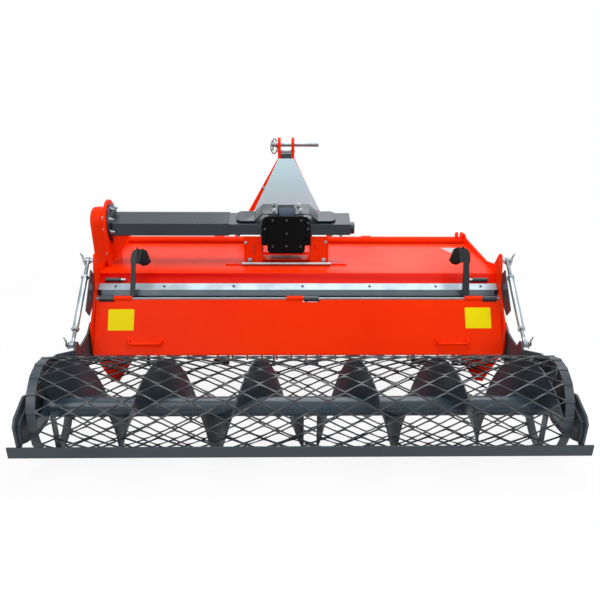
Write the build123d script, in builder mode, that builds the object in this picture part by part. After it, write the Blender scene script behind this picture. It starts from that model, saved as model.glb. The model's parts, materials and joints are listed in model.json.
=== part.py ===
from build123d import *
import math
import os

os.makedirs("parts", exist_ok=True)

# Stone burier of two metres, seen from behind: +X right, +Y forward to the tractor, +Z up.
# The origin is on the ground, in the middle of the whole machine's length and width.
# Places along the machine are distances ahead of the roller's axis, turned into Y by at().

# Driving sizes, in millimetres
body_width = 2000.0
side_plate_thickness = 8.0
sheet_thickness = 5.0
side_view_size = 1000.0
roller_radius = 210.0
roller_overhang = 50.0
roller_length = body_width + 2 * roller_overhang
roller_end_gap = 12.0
arm_thickness = 10.0
rotor_radius = 250.0

# Clearances
fit_gap = 0.05
seat_gap = 0.3
overrun = 20.0
bore_end_gap = 5.0

# Scraper bar behind the roller, the rearmost piece
scraper_overhang = 35.0
scraper_bracket_thickness = 10.0
scraper_outside = roller_end_gap + arm_thickness + scraper_bracket_thickness + scraper_overhang
scraper_length = roller_length + 2 * scraper_outside
scraper_height = 45.0
scraper_thickness = 8.0
scraper_bottom = 120.0
scraper_distance = 56.0
rear_reach = roller_radius + scraper_distance

# Lower link lugs, the foremost pieces
link_lug_radius = 38.0
lower_pin_ahead = 1532.0
front_reach = lower_pin_ahead + link_lug_radius
roller_y = -(front_reach - rear_reach) / 2


def at(ahead):
    """Y of a place this far ahead of the roller's axis."""
    return roller_y + ahead


def finish(part, name):
    """Label a finished piece and write its file."""
    part.part.label = name
    export_step(part.part, f"parts/{name}.step")


def profile(shares):
    """Side view points from shares (ahead of the roller's axis, above the ground)."""
    return [(at(ahead * side_view_size), height * side_view_size) for ahead, height in shares]


def bent_sheet(path, thickness):
    """Outline of a sheet bent along a path: to its left, or to its right if negative."""
    normals = []
    for (y0, z0), (y1, z1) in zip(path, path[1:]):
        run = math.hypot(y1 - y0, z1 - z0)
        normals.append(((z0 - z1) / run, (y1 - y0) / run))
    other_side = []
    for index, (y, z) in enumerate(path):
        before = normals[max(index - 1, 0)]
        after = normals[min(index, len(normals) - 1)]
        sum_y = before[0] + after[0]
        sum_z = before[1] + after[1]
        reach = 2 * thickness / (sum_y**2 + sum_z**2)
        other_side.append((y + sum_y * reach, z + sum_z * reach))
    return [*path, *reversed(other_side)]


half_width = body_width / 2
plate_inner = half_width - side_plate_thickness
sides = (("left", -1), ("right", 1))

# Side plates, with ears for the turnbuckles and skids under them
side_plate_shares = [
    (0.740, 0.0), (0.492, 0.269), (0.512, 0.380), (0.653, 0.524), (0.686, 0.642), (0.709, 0.690),
    (0.738, 0.690), (0.797, 0.626), (0.930, 0.613), (1.352, 0.652), (1.396, 0.671),
    (1.436, 0.671), (1.470, 0.621), (1.470, 0.193), (1.421, 0.048), (1.333, 0.0),
]
plate_corner = 14.0
skid_width = 28.0
skid_thickness = 8.0
skid_start_share = 0.752
skid_end_share = 1.321

# Guards bolted outside the side plates along their rear edges
side_guard_shares = [(0.652, 0.630), (0.570, 0.546), (0.498, 0.470), (0.540, 0.432), (0.655, 0.490), (0.682, 0.600)]
side_guard_thickness = 4.5
side_guard_corner = 6.0

# Turnbuckles between the plates' ears and the roller arms
ear_pin_ahead = 716.0
ear_pin_height = 658.0
arm_pin_ahead = 335.0
arm_pin_height = 360.0
turnbuckle_offset = 29.0
pin_radius = 10.0
eye_radius = 17.0
eye_width = 20.0
turnbuckle_radius = 14.0
adjuster_rod_radius = 9.0
eye_slack = 1.5

# Roller arms, outside the side plates at their pivots and outside the roller at its ends
arm_gap = 6.0
arm_pivot_ahead = 760.0
arm_pivot_height = 280.0
arm_pivot_radius = 18.0

# Rotor across the hood
rotor_ahead = 1000.0
rotor_height = 256.0
rotor_shaft_radius = 30.0
rotor_plate_gap = 8.0

for side, sign in sides:
    with BuildPart() as side_plate:
        with BuildSketch(Plane.YZ.offset(sign * plate_inner)):
            with BuildLine():
                Polyline(*profile(side_plate_shares), close=True)
            make_face()
            with Locations((at(ear_pin_ahead), ear_pin_height)):
                Circle(pin_radius + fit_gap, mode=Mode.SUBTRACT)
            with Locations((at(arm_pivot_ahead), arm_pivot_height)):
                Circle(arm_pivot_radius + fit_gap, mode=Mode.SUBTRACT)
            with Locations((at(rotor_ahead), rotor_height)):
                Circle(rotor_shaft_radius + rotor_plate_gap, mode=Mode.SUBTRACT)
        extrude(amount=sign * side_plate_thickness)
        fillet(side_plate.edges().filter_by(Axis.X).filter_by(GeomType.LINE), radius=plate_corner)
        skid_path = profile([(skid_start_share, 0.0), (skid_end_share, 0.0)])
        with BuildSketch(Plane.YZ.offset(sign * (plate_inner - skid_width))):
            with BuildLine():
                Polyline(*bent_sheet(skid_path, skid_thickness), close=True)
            make_face()
        extrude(amount=sign * (skid_width + side_plate_thickness / 2))
    finish(side_plate, f"side_plate_{side}")
    with BuildPart() as side_guard:
        with BuildSketch(Plane.YZ.offset(sign * (half_width + seat_gap))):
            with BuildLine():
                Polyline(*profile(side_guard_shares), close=True)
            make_face()
        extrude(amount=sign * side_guard_thickness)
        fillet(side_guard.edges().filter_by(Axis.X), radius=side_guard_corner)
    finish(side_guard, f"side_guard_{side}")

# Hood over the rotor: rear apron, near vertical facet, two top facets and front lip
hood_shares = [
    (0.684, 0.5236), (0.735, 0.5576), (0.760, 0.587), (0.950, 0.603), (1.368, 0.619), (1.384, 0.580),
]
hood_path = profile(hood_shares)


def hood_top(ahead):
    """Height of the hood's top facets at a place ahead of the roller's axis."""
    y = at(ahead)
    for (y0, z0), (y1, z1) in zip(hood_path[2:], hood_path[3:]):
        if y <= y1:
            return z0 + (y - y0) * (z1 - z0) / (y1 - y0)
    return hood_path[-1][1]


with BuildPart() as hood:
    with BuildSketch(Plane.YZ.offset(-plate_inner)):
        with BuildLine():
            Polyline(*bent_sheet(hood_path, -sheet_thickness), close=True)
        make_face()
    extrude(amount=2 * plate_inner)
finish(hood, "hood")

# Front beam under the hood's lip, and the round cross tube above it with its two clamps
beam_start = hood_shares[-1][0] * side_view_size
beam_depth = 72.0
beam_bottom = 500.0
beam_top = 580.0
beam_wall = 6.0
cross_tube_ahead = 1412.0
cross_tube_height = 629.0
cross_tube_radius = 24.0
clamp_radius = 29.0
clamp_length = 56.0
clamp_places_share = (-0.46, 0.41)
tube_lug_places_share = (0.952, 0.981)
tube_lug_thickness = 12.0
tube_lug_radius = 21.0
tube_lug_rise = 30.0

with BuildPart() as front_beam:
    beam_middle = at(beam_start + beam_depth / 2)
    beam_height = beam_top - beam_bottom
    with BuildSketch(Plane.YZ.offset(-plate_inner)):
        with Locations((beam_middle, (beam_top + beam_bottom) / 2)):
            Rectangle(beam_depth, beam_height)
            Rectangle(beam_depth - 2 * beam_wall, beam_height - 2 * beam_wall, mode=Mode.SUBTRACT)
    extrude(amount=2 * plate_inner)
finish(front_beam, "front_beam")

with BuildPart() as cross_tube:
    with BuildSketch(Plane.YZ.offset(-plate_inner)):
        with Locations((at(cross_tube_ahead), cross_tube_height)):
            Circle(cross_tube_radius)
    extrude(amount=2 * plate_inner)
    for clamp_share in clamp_places_share:
        with BuildSketch(Plane.YZ.offset(clamp_share * half_width - clamp_length / 2)):
            with Locations((at(cross_tube_ahead), cross_tube_height)):
                Circle(clamp_radius)
        extrude(amount=clamp_length)
    for lug_share in tube_lug_places_share:
        with BuildSketch(Plane.YZ.offset(lug_share * half_width - tube_lug_thickness / 2)):
            with Locations((at(cross_tube_ahead), cross_tube_height + tube_lug_rise), (at(cross_tube_ahead), cross_tube_height)):
                Circle(tube_lug_radius)
            make_hull()
        extrude(amount=tube_lug_thickness)
finish(cross_tube, "cross_tube")

# Stone grid under the hood: a round bar with curved rods that hold the stones back
grid_bar_ahead = 742.0
grid_bar_height = 500.0
grid_bar_radius = 16.0
grid_rod_radius = 6.0
grid_rod_count = 26
grid_rod_shares = [(0.735, 0.495), (0.690, 0.400), (0.668, 0.270), (0.690, 0.150)]
grid_bend = 60.0

with BuildPart() as stone_grid:
    with BuildSketch(Plane.YZ.offset(-plate_inner)):
        with Locations((at(grid_bar_ahead), grid_bar_height)):
            Circle(grid_bar_radius)
    extrude(amount=2 * plate_inner)
    grid_pitch = 2 * plate_inner / grid_rod_count
    for index in range(grid_rod_count):
        rod_x = -plate_inner + (index + 0.5) * grid_pitch
        rod_points = [(rod_x, y, z) for y, z in profile(grid_rod_shares)]
        with BuildLine() as rod_line:
            FilletPolyline(*rod_points, radius=grid_bend)
        with BuildSketch(Plane(origin=rod_line.line @ 0, z_dir=rod_line.line % 0)):
            RegularPolygon(grid_rod_radius, 6)
        sweep(path=rod_line.line)
finish(stone_grid, "stone_grid")

# Headstock: two legs, the light cover plate, the top link ears and the lower link lugs
hitch_x = -63.0
leg_depth = 50.0
leg_width = 30.0
leg_start = beam_start + beam_depth
leg_foot_height = 506.0
leg_top_spread = 48.0
leg_foot_spreads = {-1: 395.0, 1: 344.0}
leg_top_height = 1081.0
legs_plate_thickness = 6.0
plate_lap = 4.0
plate_low_height = 796.0
ear_spread = 38.5
ear_thickness = 17.0
ear_top_radius = 37.0
top_pin_rise = 74.0
top_pin_height = leg_top_height + top_pin_rise
top_pin_ahead = 1482.0
top_pin_radius = 12.5
top_pin_left_share = 0.085
top_pin_right_share = 0.185
top_block_height = 34.0
link_block_height = 27.0

with BuildPart() as headstock:
    with BuildSketch(Plane.XZ.offset(-at(leg_start))):
        for sign in (-1, 1):
            foot = hitch_x + sign * leg_foot_spreads[sign]
            crown = hitch_x + sign * leg_top_spread
            with BuildLine():
                Polyline((foot, leg_foot_height), (foot - sign * leg_width, leg_foot_height),
                         (crown - sign * leg_width, leg_top_height), (crown, leg_top_height), close=True)
            make_face()
    extrude(amount=-leg_depth)
    with BuildSketch(Plane.XZ.offset(-at(leg_start))):
        with Locations((hitch_x, leg_top_height - top_block_height / 2)):
            Rectangle(2 * leg_top_spread, top_block_height)
    extrude(amount=-leg_depth)
finish(headstock, "headstock")

with BuildPart() as headstock_plate:
    drop_share = (leg_top_height - plate_low_height) / (leg_top_height - leg_foot_height)
    low_left = leg_top_spread + drop_share * (leg_foot_spreads[-1] - leg_top_spread) - leg_width
    low_right = leg_top_spread + drop_share * (leg_foot_spreads[1] - leg_top_spread) + plate_lap
    with BuildSketch(Plane.XZ.offset(-at(leg_start))):
        with BuildLine():
            Polyline((hitch_x - low_left, plate_low_height), (hitch_x + low_right, plate_low_height),
                     (hitch_x + leg_top_spread - plate_lap, leg_top_height),
                     (hitch_x - leg_top_spread + plate_lap, leg_top_height), close=True)
        make_face()
    extrude(amount=legs_plate_thickness)
finish(headstock_plate, "headstock_plate")

with BuildPart() as top_link_ears:
    for sign in (-1, 1):
        with BuildSketch(Plane.YZ.offset(hitch_x + sign * (ear_spread - ear_thickness / 2))):
            with Locations((at(top_pin_ahead), top_pin_height)):
                Circle(ear_top_radius)
            with Locations((at(leg_start), leg_top_height)):
                Rectangle(leg_depth, seat_gap, align=(Align.MIN, Align.MIN))
            make_hull()
            with Locations((at(top_pin_ahead), top_pin_height)):
                Circle(top_pin_radius + fit_gap, mode=Mode.SUBTRACT)
        extrude(amount=sign * ear_thickness)
finish(top_link_ears, "top_link_ears")

with BuildPart() as top_link_block:
    block_half = ear_spread - ear_thickness / 2 - seat_gap
    with BuildSketch(Plane.XZ.offset(-at(leg_start))):
        with Locations((hitch_x, leg_top_height + seat_gap)):
            Rectangle(2 * block_half, link_block_height, align=(Align.CENTER, Align.MIN))
    extrude(amount=-leg_depth)
finish(top_link_block, "top_link_block")

with BuildPart() as top_link_pin:
    with BuildSketch(Plane.YZ.offset(hitch_x - top_pin_left_share * half_width)):
        with Locations((at(top_pin_ahead), top_pin_height)):
            Circle(top_pin_radius)
    extrude(amount=(top_pin_left_share + top_pin_right_share) * half_width)
finish(top_link_pin, "top_link_pin")

lower_pin_height = 545.0
lug_spread = 396.5
lug_thickness = 16.0
lug_tail_height = 80.0
lower_pin_radius = 14.0
lower_pin_length = 110.0
lower_pin_root = 30.0
lower_root_radius = 19.0

for side, sign in sides:
    lug_x = hitch_x + sign * lug_spread
    with BuildPart() as lower_link_lug:
        with BuildSketch(Plane.YZ.offset(lug_x)):
            with Locations((at(lower_pin_ahead), lower_pin_height)):
                Circle(link_lug_radius)
            with Locations((at(beam_start + beam_depth), (beam_bottom + beam_top) / 2)):
                Rectangle(seat_gap, lug_tail_height, align=(Align.MIN, Align.CENTER))
            make_hull()
            with Locations((at(lower_pin_ahead), lower_pin_height)):
                Circle(lower_root_radius + fit_gap, mode=Mode.SUBTRACT)
        extrude(amount=sign * lug_thickness)
    finish(lower_link_lug, f"lower_link_lug_{side}")
    with BuildPart() as lower_link_pin:
        with BuildSketch(Plane.YZ.offset(lug_x - sign * lower_pin_root)):
            with Locations((at(lower_pin_ahead), lower_pin_height)):
                Circle(lower_root_radius)
        extrude(amount=sign * (lower_pin_root + lug_thickness))
        with BuildSketch(Plane.YZ.offset(lug_x + sign * lug_thickness)):
            with Locations((at(lower_pin_ahead), lower_pin_height)):
                Circle(lower_pin_radius)
        extrude(amount=sign * lower_pin_length)
    finish(lower_link_pin, f"lower_link_pin_{side}")

# Gearbox bracket on the hood: a foot, a rear plate with a low opening, and two side cheeks
bracket_start = 900.0
bracket_depth = 230.0
bracket_width = 437.0
bracket_plate_thickness = 8.0
bracket_top = 742.0
bracket_opening_width = 252.0
bracket_strip_height = 24.0
foot_thickness = 6.0
foot_width = 630.0
foot_depth = 50.0

with BuildPart() as gearbox_bracket:
    foot_path = [(at(bracket_start + step), hood_top(bracket_start + step))
                 for step in (-bracket_plate_thickness, foot_depth - foot_thickness)]
    base_path = [(at(bracket_start + step), hood_top(bracket_start + step))
                 for step in (-bracket_plate_thickness, foot_depth, bracket_depth)]
    for path, width in ((foot_path, foot_width), (base_path, bracket_width)):
        with BuildSketch(Plane.YZ.offset(hitch_x - width / 2)):
            with BuildLine():
                Polyline(*bent_sheet(path, foot_thickness), close=True)
            make_face()
        extrude(amount=width)
    strip_bottom = hood_top(bracket_start) + foot_thickness / 2
    with BuildSketch(Plane.XZ.offset(-at(bracket_start))):
        with Locations((hitch_x, strip_bottom)):
            Rectangle(bracket_width, bracket_top - strip_bottom, align=(Align.CENTER, Align.MIN))
        with Locations((hitch_x, strip_bottom + bracket_strip_height)):
            Rectangle(bracket_opening_width, bracket_top, align=(Align.CENTER, Align.MIN), mode=Mode.SUBTRACT)
    extrude(amount=-bracket_plate_thickness)
    for sign in (-1, 1):
        cheek_x = hitch_x + sign * bracket_opening_width / 2
        with BuildSketch(Plane.YZ.offset(cheek_x)):
            with BuildLine():
                Polyline((at(bracket_start), strip_bottom), (at(bracket_start), bracket_top),
                         (at(bracket_start + foot_depth), bracket_top),
                         (at(bracket_start + bracket_depth), hood_top(bracket_start + bracket_depth)
                          + bracket_strip_height),
                         (at(bracket_start + bracket_depth), hood_top(bracket_start + bracket_depth)
                          + foot_thickness / 2), close=True)
            make_face()
        extrude(amount=sign * bracket_plate_thickness)
finish(gearbox_bracket, "gearbox_bracket")

bracket_rod_radius = 8.0
bracket_rod_length = 458.0

with BuildPart() as bracket_rod:
    rod_ahead = bracket_start - bracket_plate_thickness - bracket_rod_radius - 2 * seat_gap
    with BuildSketch(Plane.YZ.offset(hitch_x - bracket_rod_length / 2)):
        with Locations((at(rod_ahead), hood_top(rod_ahead + bracket_rod_radius) + bracket_rod_radius + seat_gap)):
            Circle(bracket_rod_radius)
    extrude(amount=bracket_rod_length)
finish(bracket_rod, "bracket_rod")

# Transmission tube from the gearbox to the gearcase: vertical back, sloping roof
tube_rear = 900.0
tube_front = 1030.0
tube_bottom = 745.0
tube_eave = 806.0
tube_ridge = 846.0
tube_ridge_ahead = 1010.0
tube_inset = 4.0
housing_half_width = 90.0
tube_joint_x = -355.0
tube_end_x = 266.0
case_boss_reach = 38.0
gearcase_inner_x = case_boss_reach - half_width
flange_thickness = 12.0
flange_radius = 97.0
tube_cap_radius = 30.0
tube_cap_length = 24.0


def tube_outline(inset):
    """Section of the transmission tube, all sides drawn in by an inset."""
    return [(at(tube_rear + inset), tube_bottom + inset), (at(tube_rear + inset), tube_eave - inset),
            (at(tube_ridge_ahead), tube_ridge - inset), (at(tube_front - inset), tube_ridge - inset),
            (at(tube_front - inset), tube_bottom + inset)]


with BuildPart() as transmission_tube:
    tube_start = gearcase_inner_x + flange_thickness
    for start, end, inset in ((tube_start, tube_joint_x, 0.0),
                              (tube_joint_x, hitch_x - housing_half_width, tube_inset)):
        with BuildSketch(Plane.YZ.offset(start)):
            with BuildLine():
                Polyline(*tube_outline(inset), close=True)
            make_face()
        extrude(amount=end - start)
finish(transmission_tube, "transmission_tube")

with BuildPart() as tube_stub:
    with BuildSketch(Plane.YZ.offset(hitch_x + housing_half_width)):
        with BuildLine():
            Polyline(*tube_outline(tube_inset), close=True)
        make_face()
    extrude(amount=tube_end_x - hitch_x - housing_half_width)
    with BuildSketch(Plane.YZ.offset(tube_end_x)):
        with Locations((at((tube_rear + tube_front) / 2), (tube_bottom + tube_eave) / 2)):
            Circle(tube_cap_radius)
    extrude(amount=tube_cap_length)
finish(tube_stub, "tube_stub")

shaft_ahead = (tube_rear + tube_front) / 2
shaft_height = (tube_bottom + tube_ridge) / 2

with BuildPart() as tube_flange:
    with BuildSketch(Plane.YZ.offset(gearcase_inner_x)):
        with Locations((at(shaft_ahead), shaft_height)):
            Circle(flange_radius)
    extrude(amount=flange_thickness)
finish(tube_flange, "tube_flange")

# Gearcase on the left, from the transmission tube down to the rotor
case_upper_radius = 118.0
case_lower_radius = 132.0
case_thickness = 26.0
case_boss_radius = 100.0
case_dome_thickness = 26.0
case_dome_inset = 36.0
case_dome_round = 18.0
case_bore_depth = 22.0

with BuildPart() as gearcase:
    with BuildSketch(Plane.YZ.offset(-half_width)):
        with Locations((at(shaft_ahead), shaft_height)):
            Circle(case_upper_radius)
        with Locations((at(rotor_ahead), rotor_height)):
            Circle(case_lower_radius)
        make_hull()
    extrude(amount=-case_thickness)
    with BuildSketch(Plane.YZ.offset(-half_width)):
        with Locations((at(shaft_ahead), shaft_height)):
            Circle(case_boss_radius)
    extrude(amount=half_width + gearcase_inner_x)
    with BuildSketch(Plane.YZ.offset(-half_width)):
        with Locations((at(rotor_ahead), rotor_height)):
            Circle(rotor_shaft_radius + fit_gap)
    extrude(amount=-case_bore_depth, mode=Mode.SUBTRACT)
finish(gearcase, "gearcase")

with BuildPart() as gearcase_cover:
    with BuildSketch(Plane.YZ.offset(-half_width - case_thickness)):
        with Locations((at(shaft_ahead), shaft_height)):
            Circle(case_upper_radius - case_dome_inset)
        with Locations((at(rotor_ahead), rotor_height)):
            Circle(case_lower_radius - case_dome_inset)
        make_hull()
    extrude(amount=-case_dome_thickness)
    fillet(gearcase_cover.faces().sort_by(Axis.X)[0].edges(), radius=case_dome_round)
finish(gearcase_cover, "gearcase_cover")

gusset_thickness = 8.0
gusset_ahead = 905.0
gusset_reach = 84.0
gusset_shoulder = 40.0
gusset_foot_width = 16.0
gusset_arc_radius = -420.0

with BuildPart() as gearcase_gusset:
    gusset_top = tube_bottom - seat_gap
    gusset_foot = hood_top(gusset_ahead + gusset_thickness) + seat_gap
    gusset_wall = -plate_inner + seat_gap
    flange_face = gearcase_inner_x + flange_thickness + seat_gap
    with BuildSketch(Plane.XZ.offset(-at(gusset_ahead))):
        with BuildLine():
            Polyline((flange_face + gusset_reach, gusset_top), (flange_face, gusset_top),
                     (flange_face, gusset_top - gusset_shoulder), (gusset_wall, gusset_top - gusset_shoulder),
                     (gusset_wall, gusset_foot), (gusset_wall + gusset_foot_width, gusset_foot))
            RadiusArc((gusset_wall + gusset_foot_width, gusset_foot), (flange_face + gusset_reach, gusset_top),
                      gusset_arc_radius)
        make_face()
    extrude(amount=-gusset_thickness)
finish(gearcase_gusset, "gearcase_gusset")

# Bearing housing of the rotor on the right
bearing_radius = 62.0
bearing_thickness = 44.0
bearing_round = 8.0

with BuildPart() as rotor_bearing:
    with BuildSketch(Plane.YZ.offset(half_width)):
        with Locations((at(rotor_ahead), rotor_height)):
            Circle(bearing_radius)
    extrude(amount=bearing_thickness)
    fillet(rotor_bearing.faces().sort_by(Axis.X)[-1].edges(), radius=bearing_round)
    with BuildSketch(Plane.YZ.offset(half_width)):
        with Locations((at(rotor_ahead), rotor_height)):
            Circle(rotor_shaft_radius + fit_gap)
    extrude(amount=case_bore_depth, mode=Mode.SUBTRACT)
finish(rotor_bearing, "rotor_bearing")

# Gearbox with its black cover, and the two bent wings over the tube's stubs
housing_start = 890.0
housing_depth = 280.0
housing_bottom = 658.0
housing_top = 840.0
housing_flange_half = 125.0
housing_flange_height = 88.0
housing_flange_depth = 9.0
crown_half_width = 41.0
crown_height = 43.0
crown_ahead = 925.0
crown_depth = 100.0
input_radius = 17.5
input_height = 712.0
input_length = 150.0
input_root = 60.0
input_root_radius = 24.0
input_nose_radius = 44.0
input_nose_length = 34.0

with BuildPart() as gearbox:
    with BuildSketch(Plane.XY.offset(housing_bottom)):
        with Locations((hitch_x, at(housing_start + housing_depth / 2))):
            Rectangle(2 * housing_half_width, housing_depth)
    extrude(amount=housing_top - housing_bottom)
    chamfer(gearbox.edges().filter_by(Axis.Z), length=sheet_thickness * 2)
    with BuildSketch(Plane.XZ.offset(-at(housing_start))):
        with Locations((hitch_x, housing_top - housing_flange_height / 2 - crown_height)):
            Rectangle(2 * housing_flange_half, housing_flange_height)
    extrude(amount=-housing_flange_depth)
    with BuildSketch(Plane.XY.offset(housing_top)):
        with Locations((hitch_x, at(crown_ahead + crown_depth / 2))):
            Rectangle(2 * crown_half_width, crown_depth)
    extrude(amount=crown_height)
    nose_start = housing_start + housing_depth
    with BuildSketch(Plane.XZ.offset(-at(nose_start))):
        with Locations((hitch_x, input_height)):
            Circle(input_nose_radius)
    extrude(amount=-input_nose_length)
    with BuildSketch(Plane.XZ.offset(-at(nose_start + input_nose_length))):
        with Locations((hitch_x, input_height)):
            Circle(input_root_radius + fit_gap)
    extrude(amount=input_root + bore_end_gap, mode=Mode.SUBTRACT)
finish(gearbox, "gearbox")

cover_half_width = 96.0
cover_bottom = 668.0
cover_top = 845.0
cover_thickness = 12.0
cover_corner = 12.0

with BuildPart() as gearbox_cover:
    with BuildSketch(Plane.XZ.offset(-at(housing_start))):
        with Locations((hitch_x, (cover_bottom + cover_top) / 2)):
            RectangleRounded(2 * cover_half_width, cover_top - cover_bottom, cover_corner)
    extrude(amount=cover_thickness)
finish(gearbox_cover, "gearbox_cover")

wing_rise = 40.0
wing_flat_end = 116.0
wing_tab_start = 160.0
wing_tab_end = 255.0
wing_setback = 16.0
wing_thickness = 6.0
wing_depth = 104.0
wing_tab_round = 34.0

for side, sign in sides:
    with BuildPart() as wing:
        roof_run = tube_ridge_ahead - tube_rear
        roof_rise = tube_ridge - tube_eave
        lift = seat_gap * 2
        roof_length = math.hypot(roof_run, roof_rise)
        wing_origin = (hitch_x, at(tube_rear) + wing_setback * roof_run / roof_length,
                       tube_eave + lift + wing_setback * roof_rise / roof_length)
        wing_plane = Plane(origin=wing_origin, x_dir=(-1, 0, 0), z_dir=(0, roof_run, roof_rise))
        wing_path = [(-sign * (crown_half_width + seat_gap), wing_rise), (-sign * wing_flat_end, wing_rise),
                     (-sign * wing_tab_start, 0.0), (-sign * wing_tab_end, 0.0)]
        with BuildSketch(wing_plane):
            with BuildLine():
                Polyline(*bent_sheet(wing_path, -sign * wing_thickness), close=True)
            make_face()
        extrude(amount=wing_depth)
        outer_face = wing.faces().sort_by(Axis.X)[0 if sign < 0 else -1]
        fillet(outer_face.edges().filter_by(GeomType.LINE).sort_by(SortBy.LENGTH)[:2], radius=wing_tab_round)
    finish(wing, f"gearbox_wing_{side}")

with BuildPart() as input_shaft:
    with BuildSketch(Plane.XZ.offset(-at(nose_start + input_nose_length - input_root))):
        with Locations((hitch_x, input_height)):
            Circle(input_root_radius)
    extrude(amount=-input_root)
    with BuildSketch(Plane.XZ.offset(-at(nose_start + input_nose_length))):
        with Locations((hitch_x, input_height)):
            Circle(input_radius)
    extrude(amount=-input_length)
finish(input_shaft, "input_shaft")

# Galvanised rail with the rubber strip along the hood's apron
rail_shares = [(0.672, 0.494), (0.680, 0.5213), (0.714, 0.5440)]
rail_thickness = 4.0
rail_end_gap = 4.0
rail_half_length = plate_inner - rail_end_gap
rubber_shares = [(0.673, 0.484), (0.681, 0.511)]
rubber_thickness = 3.5

with BuildPart() as rail:
    with BuildSketch(Plane.YZ.offset(-rail_half_length)):
        with BuildLine():
            Polyline(*bent_sheet(profile(rail_shares), rail_thickness), close=True)
        make_face()
    extrude(amount=2 * rail_half_length)
finish(rail, "rail")

# Hinge of the rear door: rod, fixed lugs, and the door's own sleeves beside them
hinge_ahead = 632.0
hinge_height = 490.5
hinge_rod_radius = 7.5
hinge_sleeve_radius = 14.0
sleeve_side_gap = 1.0
fixed_sleeves_share = ((-0.970, -0.902), (0.022, 0.094), (0.902, 0.970))
hinge_rod_end_gap = 6.0
door_sleeves_share = ((-0.900, -0.812), (-0.062, 0.020), (0.812, 0.900))
lug_tongue_shares = [(0.640, 0.477), (0.702, 0.486), (0.724, 0.5438), (0.690, 0.5210), (0.683, 0.4934),
                     (0.640, 0.4934)]

with BuildPart() as rubber_strip:
    for start, end in ((fixed_sleeves_share[0][1], fixed_sleeves_share[1][0]),
                       (fixed_sleeves_share[1][1], fixed_sleeves_share[2][0])):
        strip_start = start * half_width + sleeve_side_gap
        with BuildSketch(Plane.YZ.offset(strip_start)):
            with BuildLine():
                Polyline(*bent_sheet(profile(rubber_shares), rubber_thickness), close=True)
            make_face()
        extrude(amount=end * half_width - sleeve_side_gap - strip_start)
finish(rubber_strip, "rubber_strip")

with BuildPart() as hinge_lugs:
    for start, end in fixed_sleeves_share:
        with BuildSketch(Plane.YZ.offset(start * half_width)):
            with Locations((at(hinge_ahead), hinge_height)):
                Circle(hinge_sleeve_radius)
            with BuildLine():
                Polyline(*profile(lug_tongue_shares), close=True)
            make_face()
            with Locations((at(hinge_ahead), hinge_height)):
                Circle(hinge_rod_radius + fit_gap, mode=Mode.SUBTRACT)
        extrude(amount=(end - start) * half_width)
finish(hinge_lugs, "hinge_lugs")

with BuildPart() as hinge_rod:
    rod_half = plate_inner - hinge_rod_end_gap
    with BuildSketch(Plane.YZ.offset(-rod_half)):
        with Locations((at(hinge_ahead), hinge_height)):
            Circle(hinge_rod_radius)
    extrude(amount=2 * rod_half)
finish(hinge_rod, "hinge_rod")

# Rear door: sheet from the sleeves down to a turned lip
door_side_gap = 5.0
door_half_width = plate_inner - door_side_gap
door_shares = [(0.622, 0.4888), (0.538, 0.363), (0.468, 0.262), (0.486, 0.250)]
door_notch_gap = 6.0

with BuildPart() as rear_door:
    with BuildSketch(Plane.YZ.offset(-door_half_width)):
        with BuildLine():
            Polyline(*bent_sheet(profile(door_shares), sheet_thickness), close=True)
        make_face()
    extrude(amount=2 * door_half_width)
    notch = hinge_sleeve_radius + door_notch_gap
    for start, end in fixed_sleeves_share:
        with BuildSketch(Plane.YZ.offset(start * half_width - door_notch_gap)):
            with Locations((at(hinge_ahead), hinge_height)):
                Circle(notch)
        extrude(amount=(end - start) * half_width + 2 * door_notch_gap, mode=Mode.SUBTRACT)
    for start, end in door_sleeves_share:
        with BuildSketch(Plane.YZ.offset(start * half_width)):
            with Locations((at(hinge_ahead), hinge_height)):
                Circle(hinge_sleeve_radius)
        extrude(amount=(end - start) * half_width)
    with BuildSketch(Plane.YZ.offset(-half_width)):
        with Locations((at(hinge_ahead), hinge_height)):
            Circle(hinge_rod_radius + fit_gap)
    extrude(amount=2 * half_width, mode=Mode.SUBTRACT)
finish(rear_door, "rear_door")

# Handles of the door: a round bar bent to a shallow bow
handle_places_share = (-0.751, 0.748)
handle_length = 172.0
handle_radius = 5.0
handle_standoff = 30.0
handle_bend = 16.0
handle_along_share = 0.50

with BuildPart() as door_handles:
    (lip_y, lip_z), (fold_y, fold_z) = profile([door_shares[2], door_shares[1]])
    root_y = lip_y + handle_along_share * (fold_y - lip_y)
    root_z = lip_z + handle_along_share * (fold_z - lip_z)
    door_run = math.hypot(fold_y - lip_y, fold_z - lip_z)
    out_y = -(fold_z - lip_z) / door_run
    out_z = (fold_y - lip_y) / door_run
    root_y += out_y * seat_gap
    root_z += out_z * seat_gap
    for place in handle_places_share:
        left = place * half_width - handle_length / 2
        right = left + handle_length
        far_y = root_y + out_y * handle_standoff
        far_z = root_z + out_z * handle_standoff
        with BuildLine() as handle_line:
            FilletPolyline((left, root_y, root_z), (left, far_y, far_z), (right, far_y, far_z),
                           (right, root_y, root_z), radius=handle_bend)
        with BuildSketch(Plane(origin=handle_line.line @ 0, z_dir=handle_line.line % 0)):
            Circle(handle_radius)
        sweep(path=handle_line.line)
finish(door_handles, "door_handles")

# Stop arms that lean forward from the door's sleeves, each with a rubber pad for the hood
stop_arm_share = 0.826
stop_arm_x = stop_arm_share * half_width
stop_arm_lean = 21.0
stop_arm_thickness = 10.0
stop_arm_outline = [
    (-13.0, 0.0), (13.0, 0.0), (19.0, 140.0), (56.0, 140.0), (62.0, 156.0), (42.0, 252.0), (4.0, 254.0), (-4.0, 236.0),
]
stop_pad_outline = [(15.0, 136.0), (70.0, 136.0), (76.0, 156.0), (48.0, 250.0), (30.0, 256.0)]
stop_pad_depth = 30.0

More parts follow.
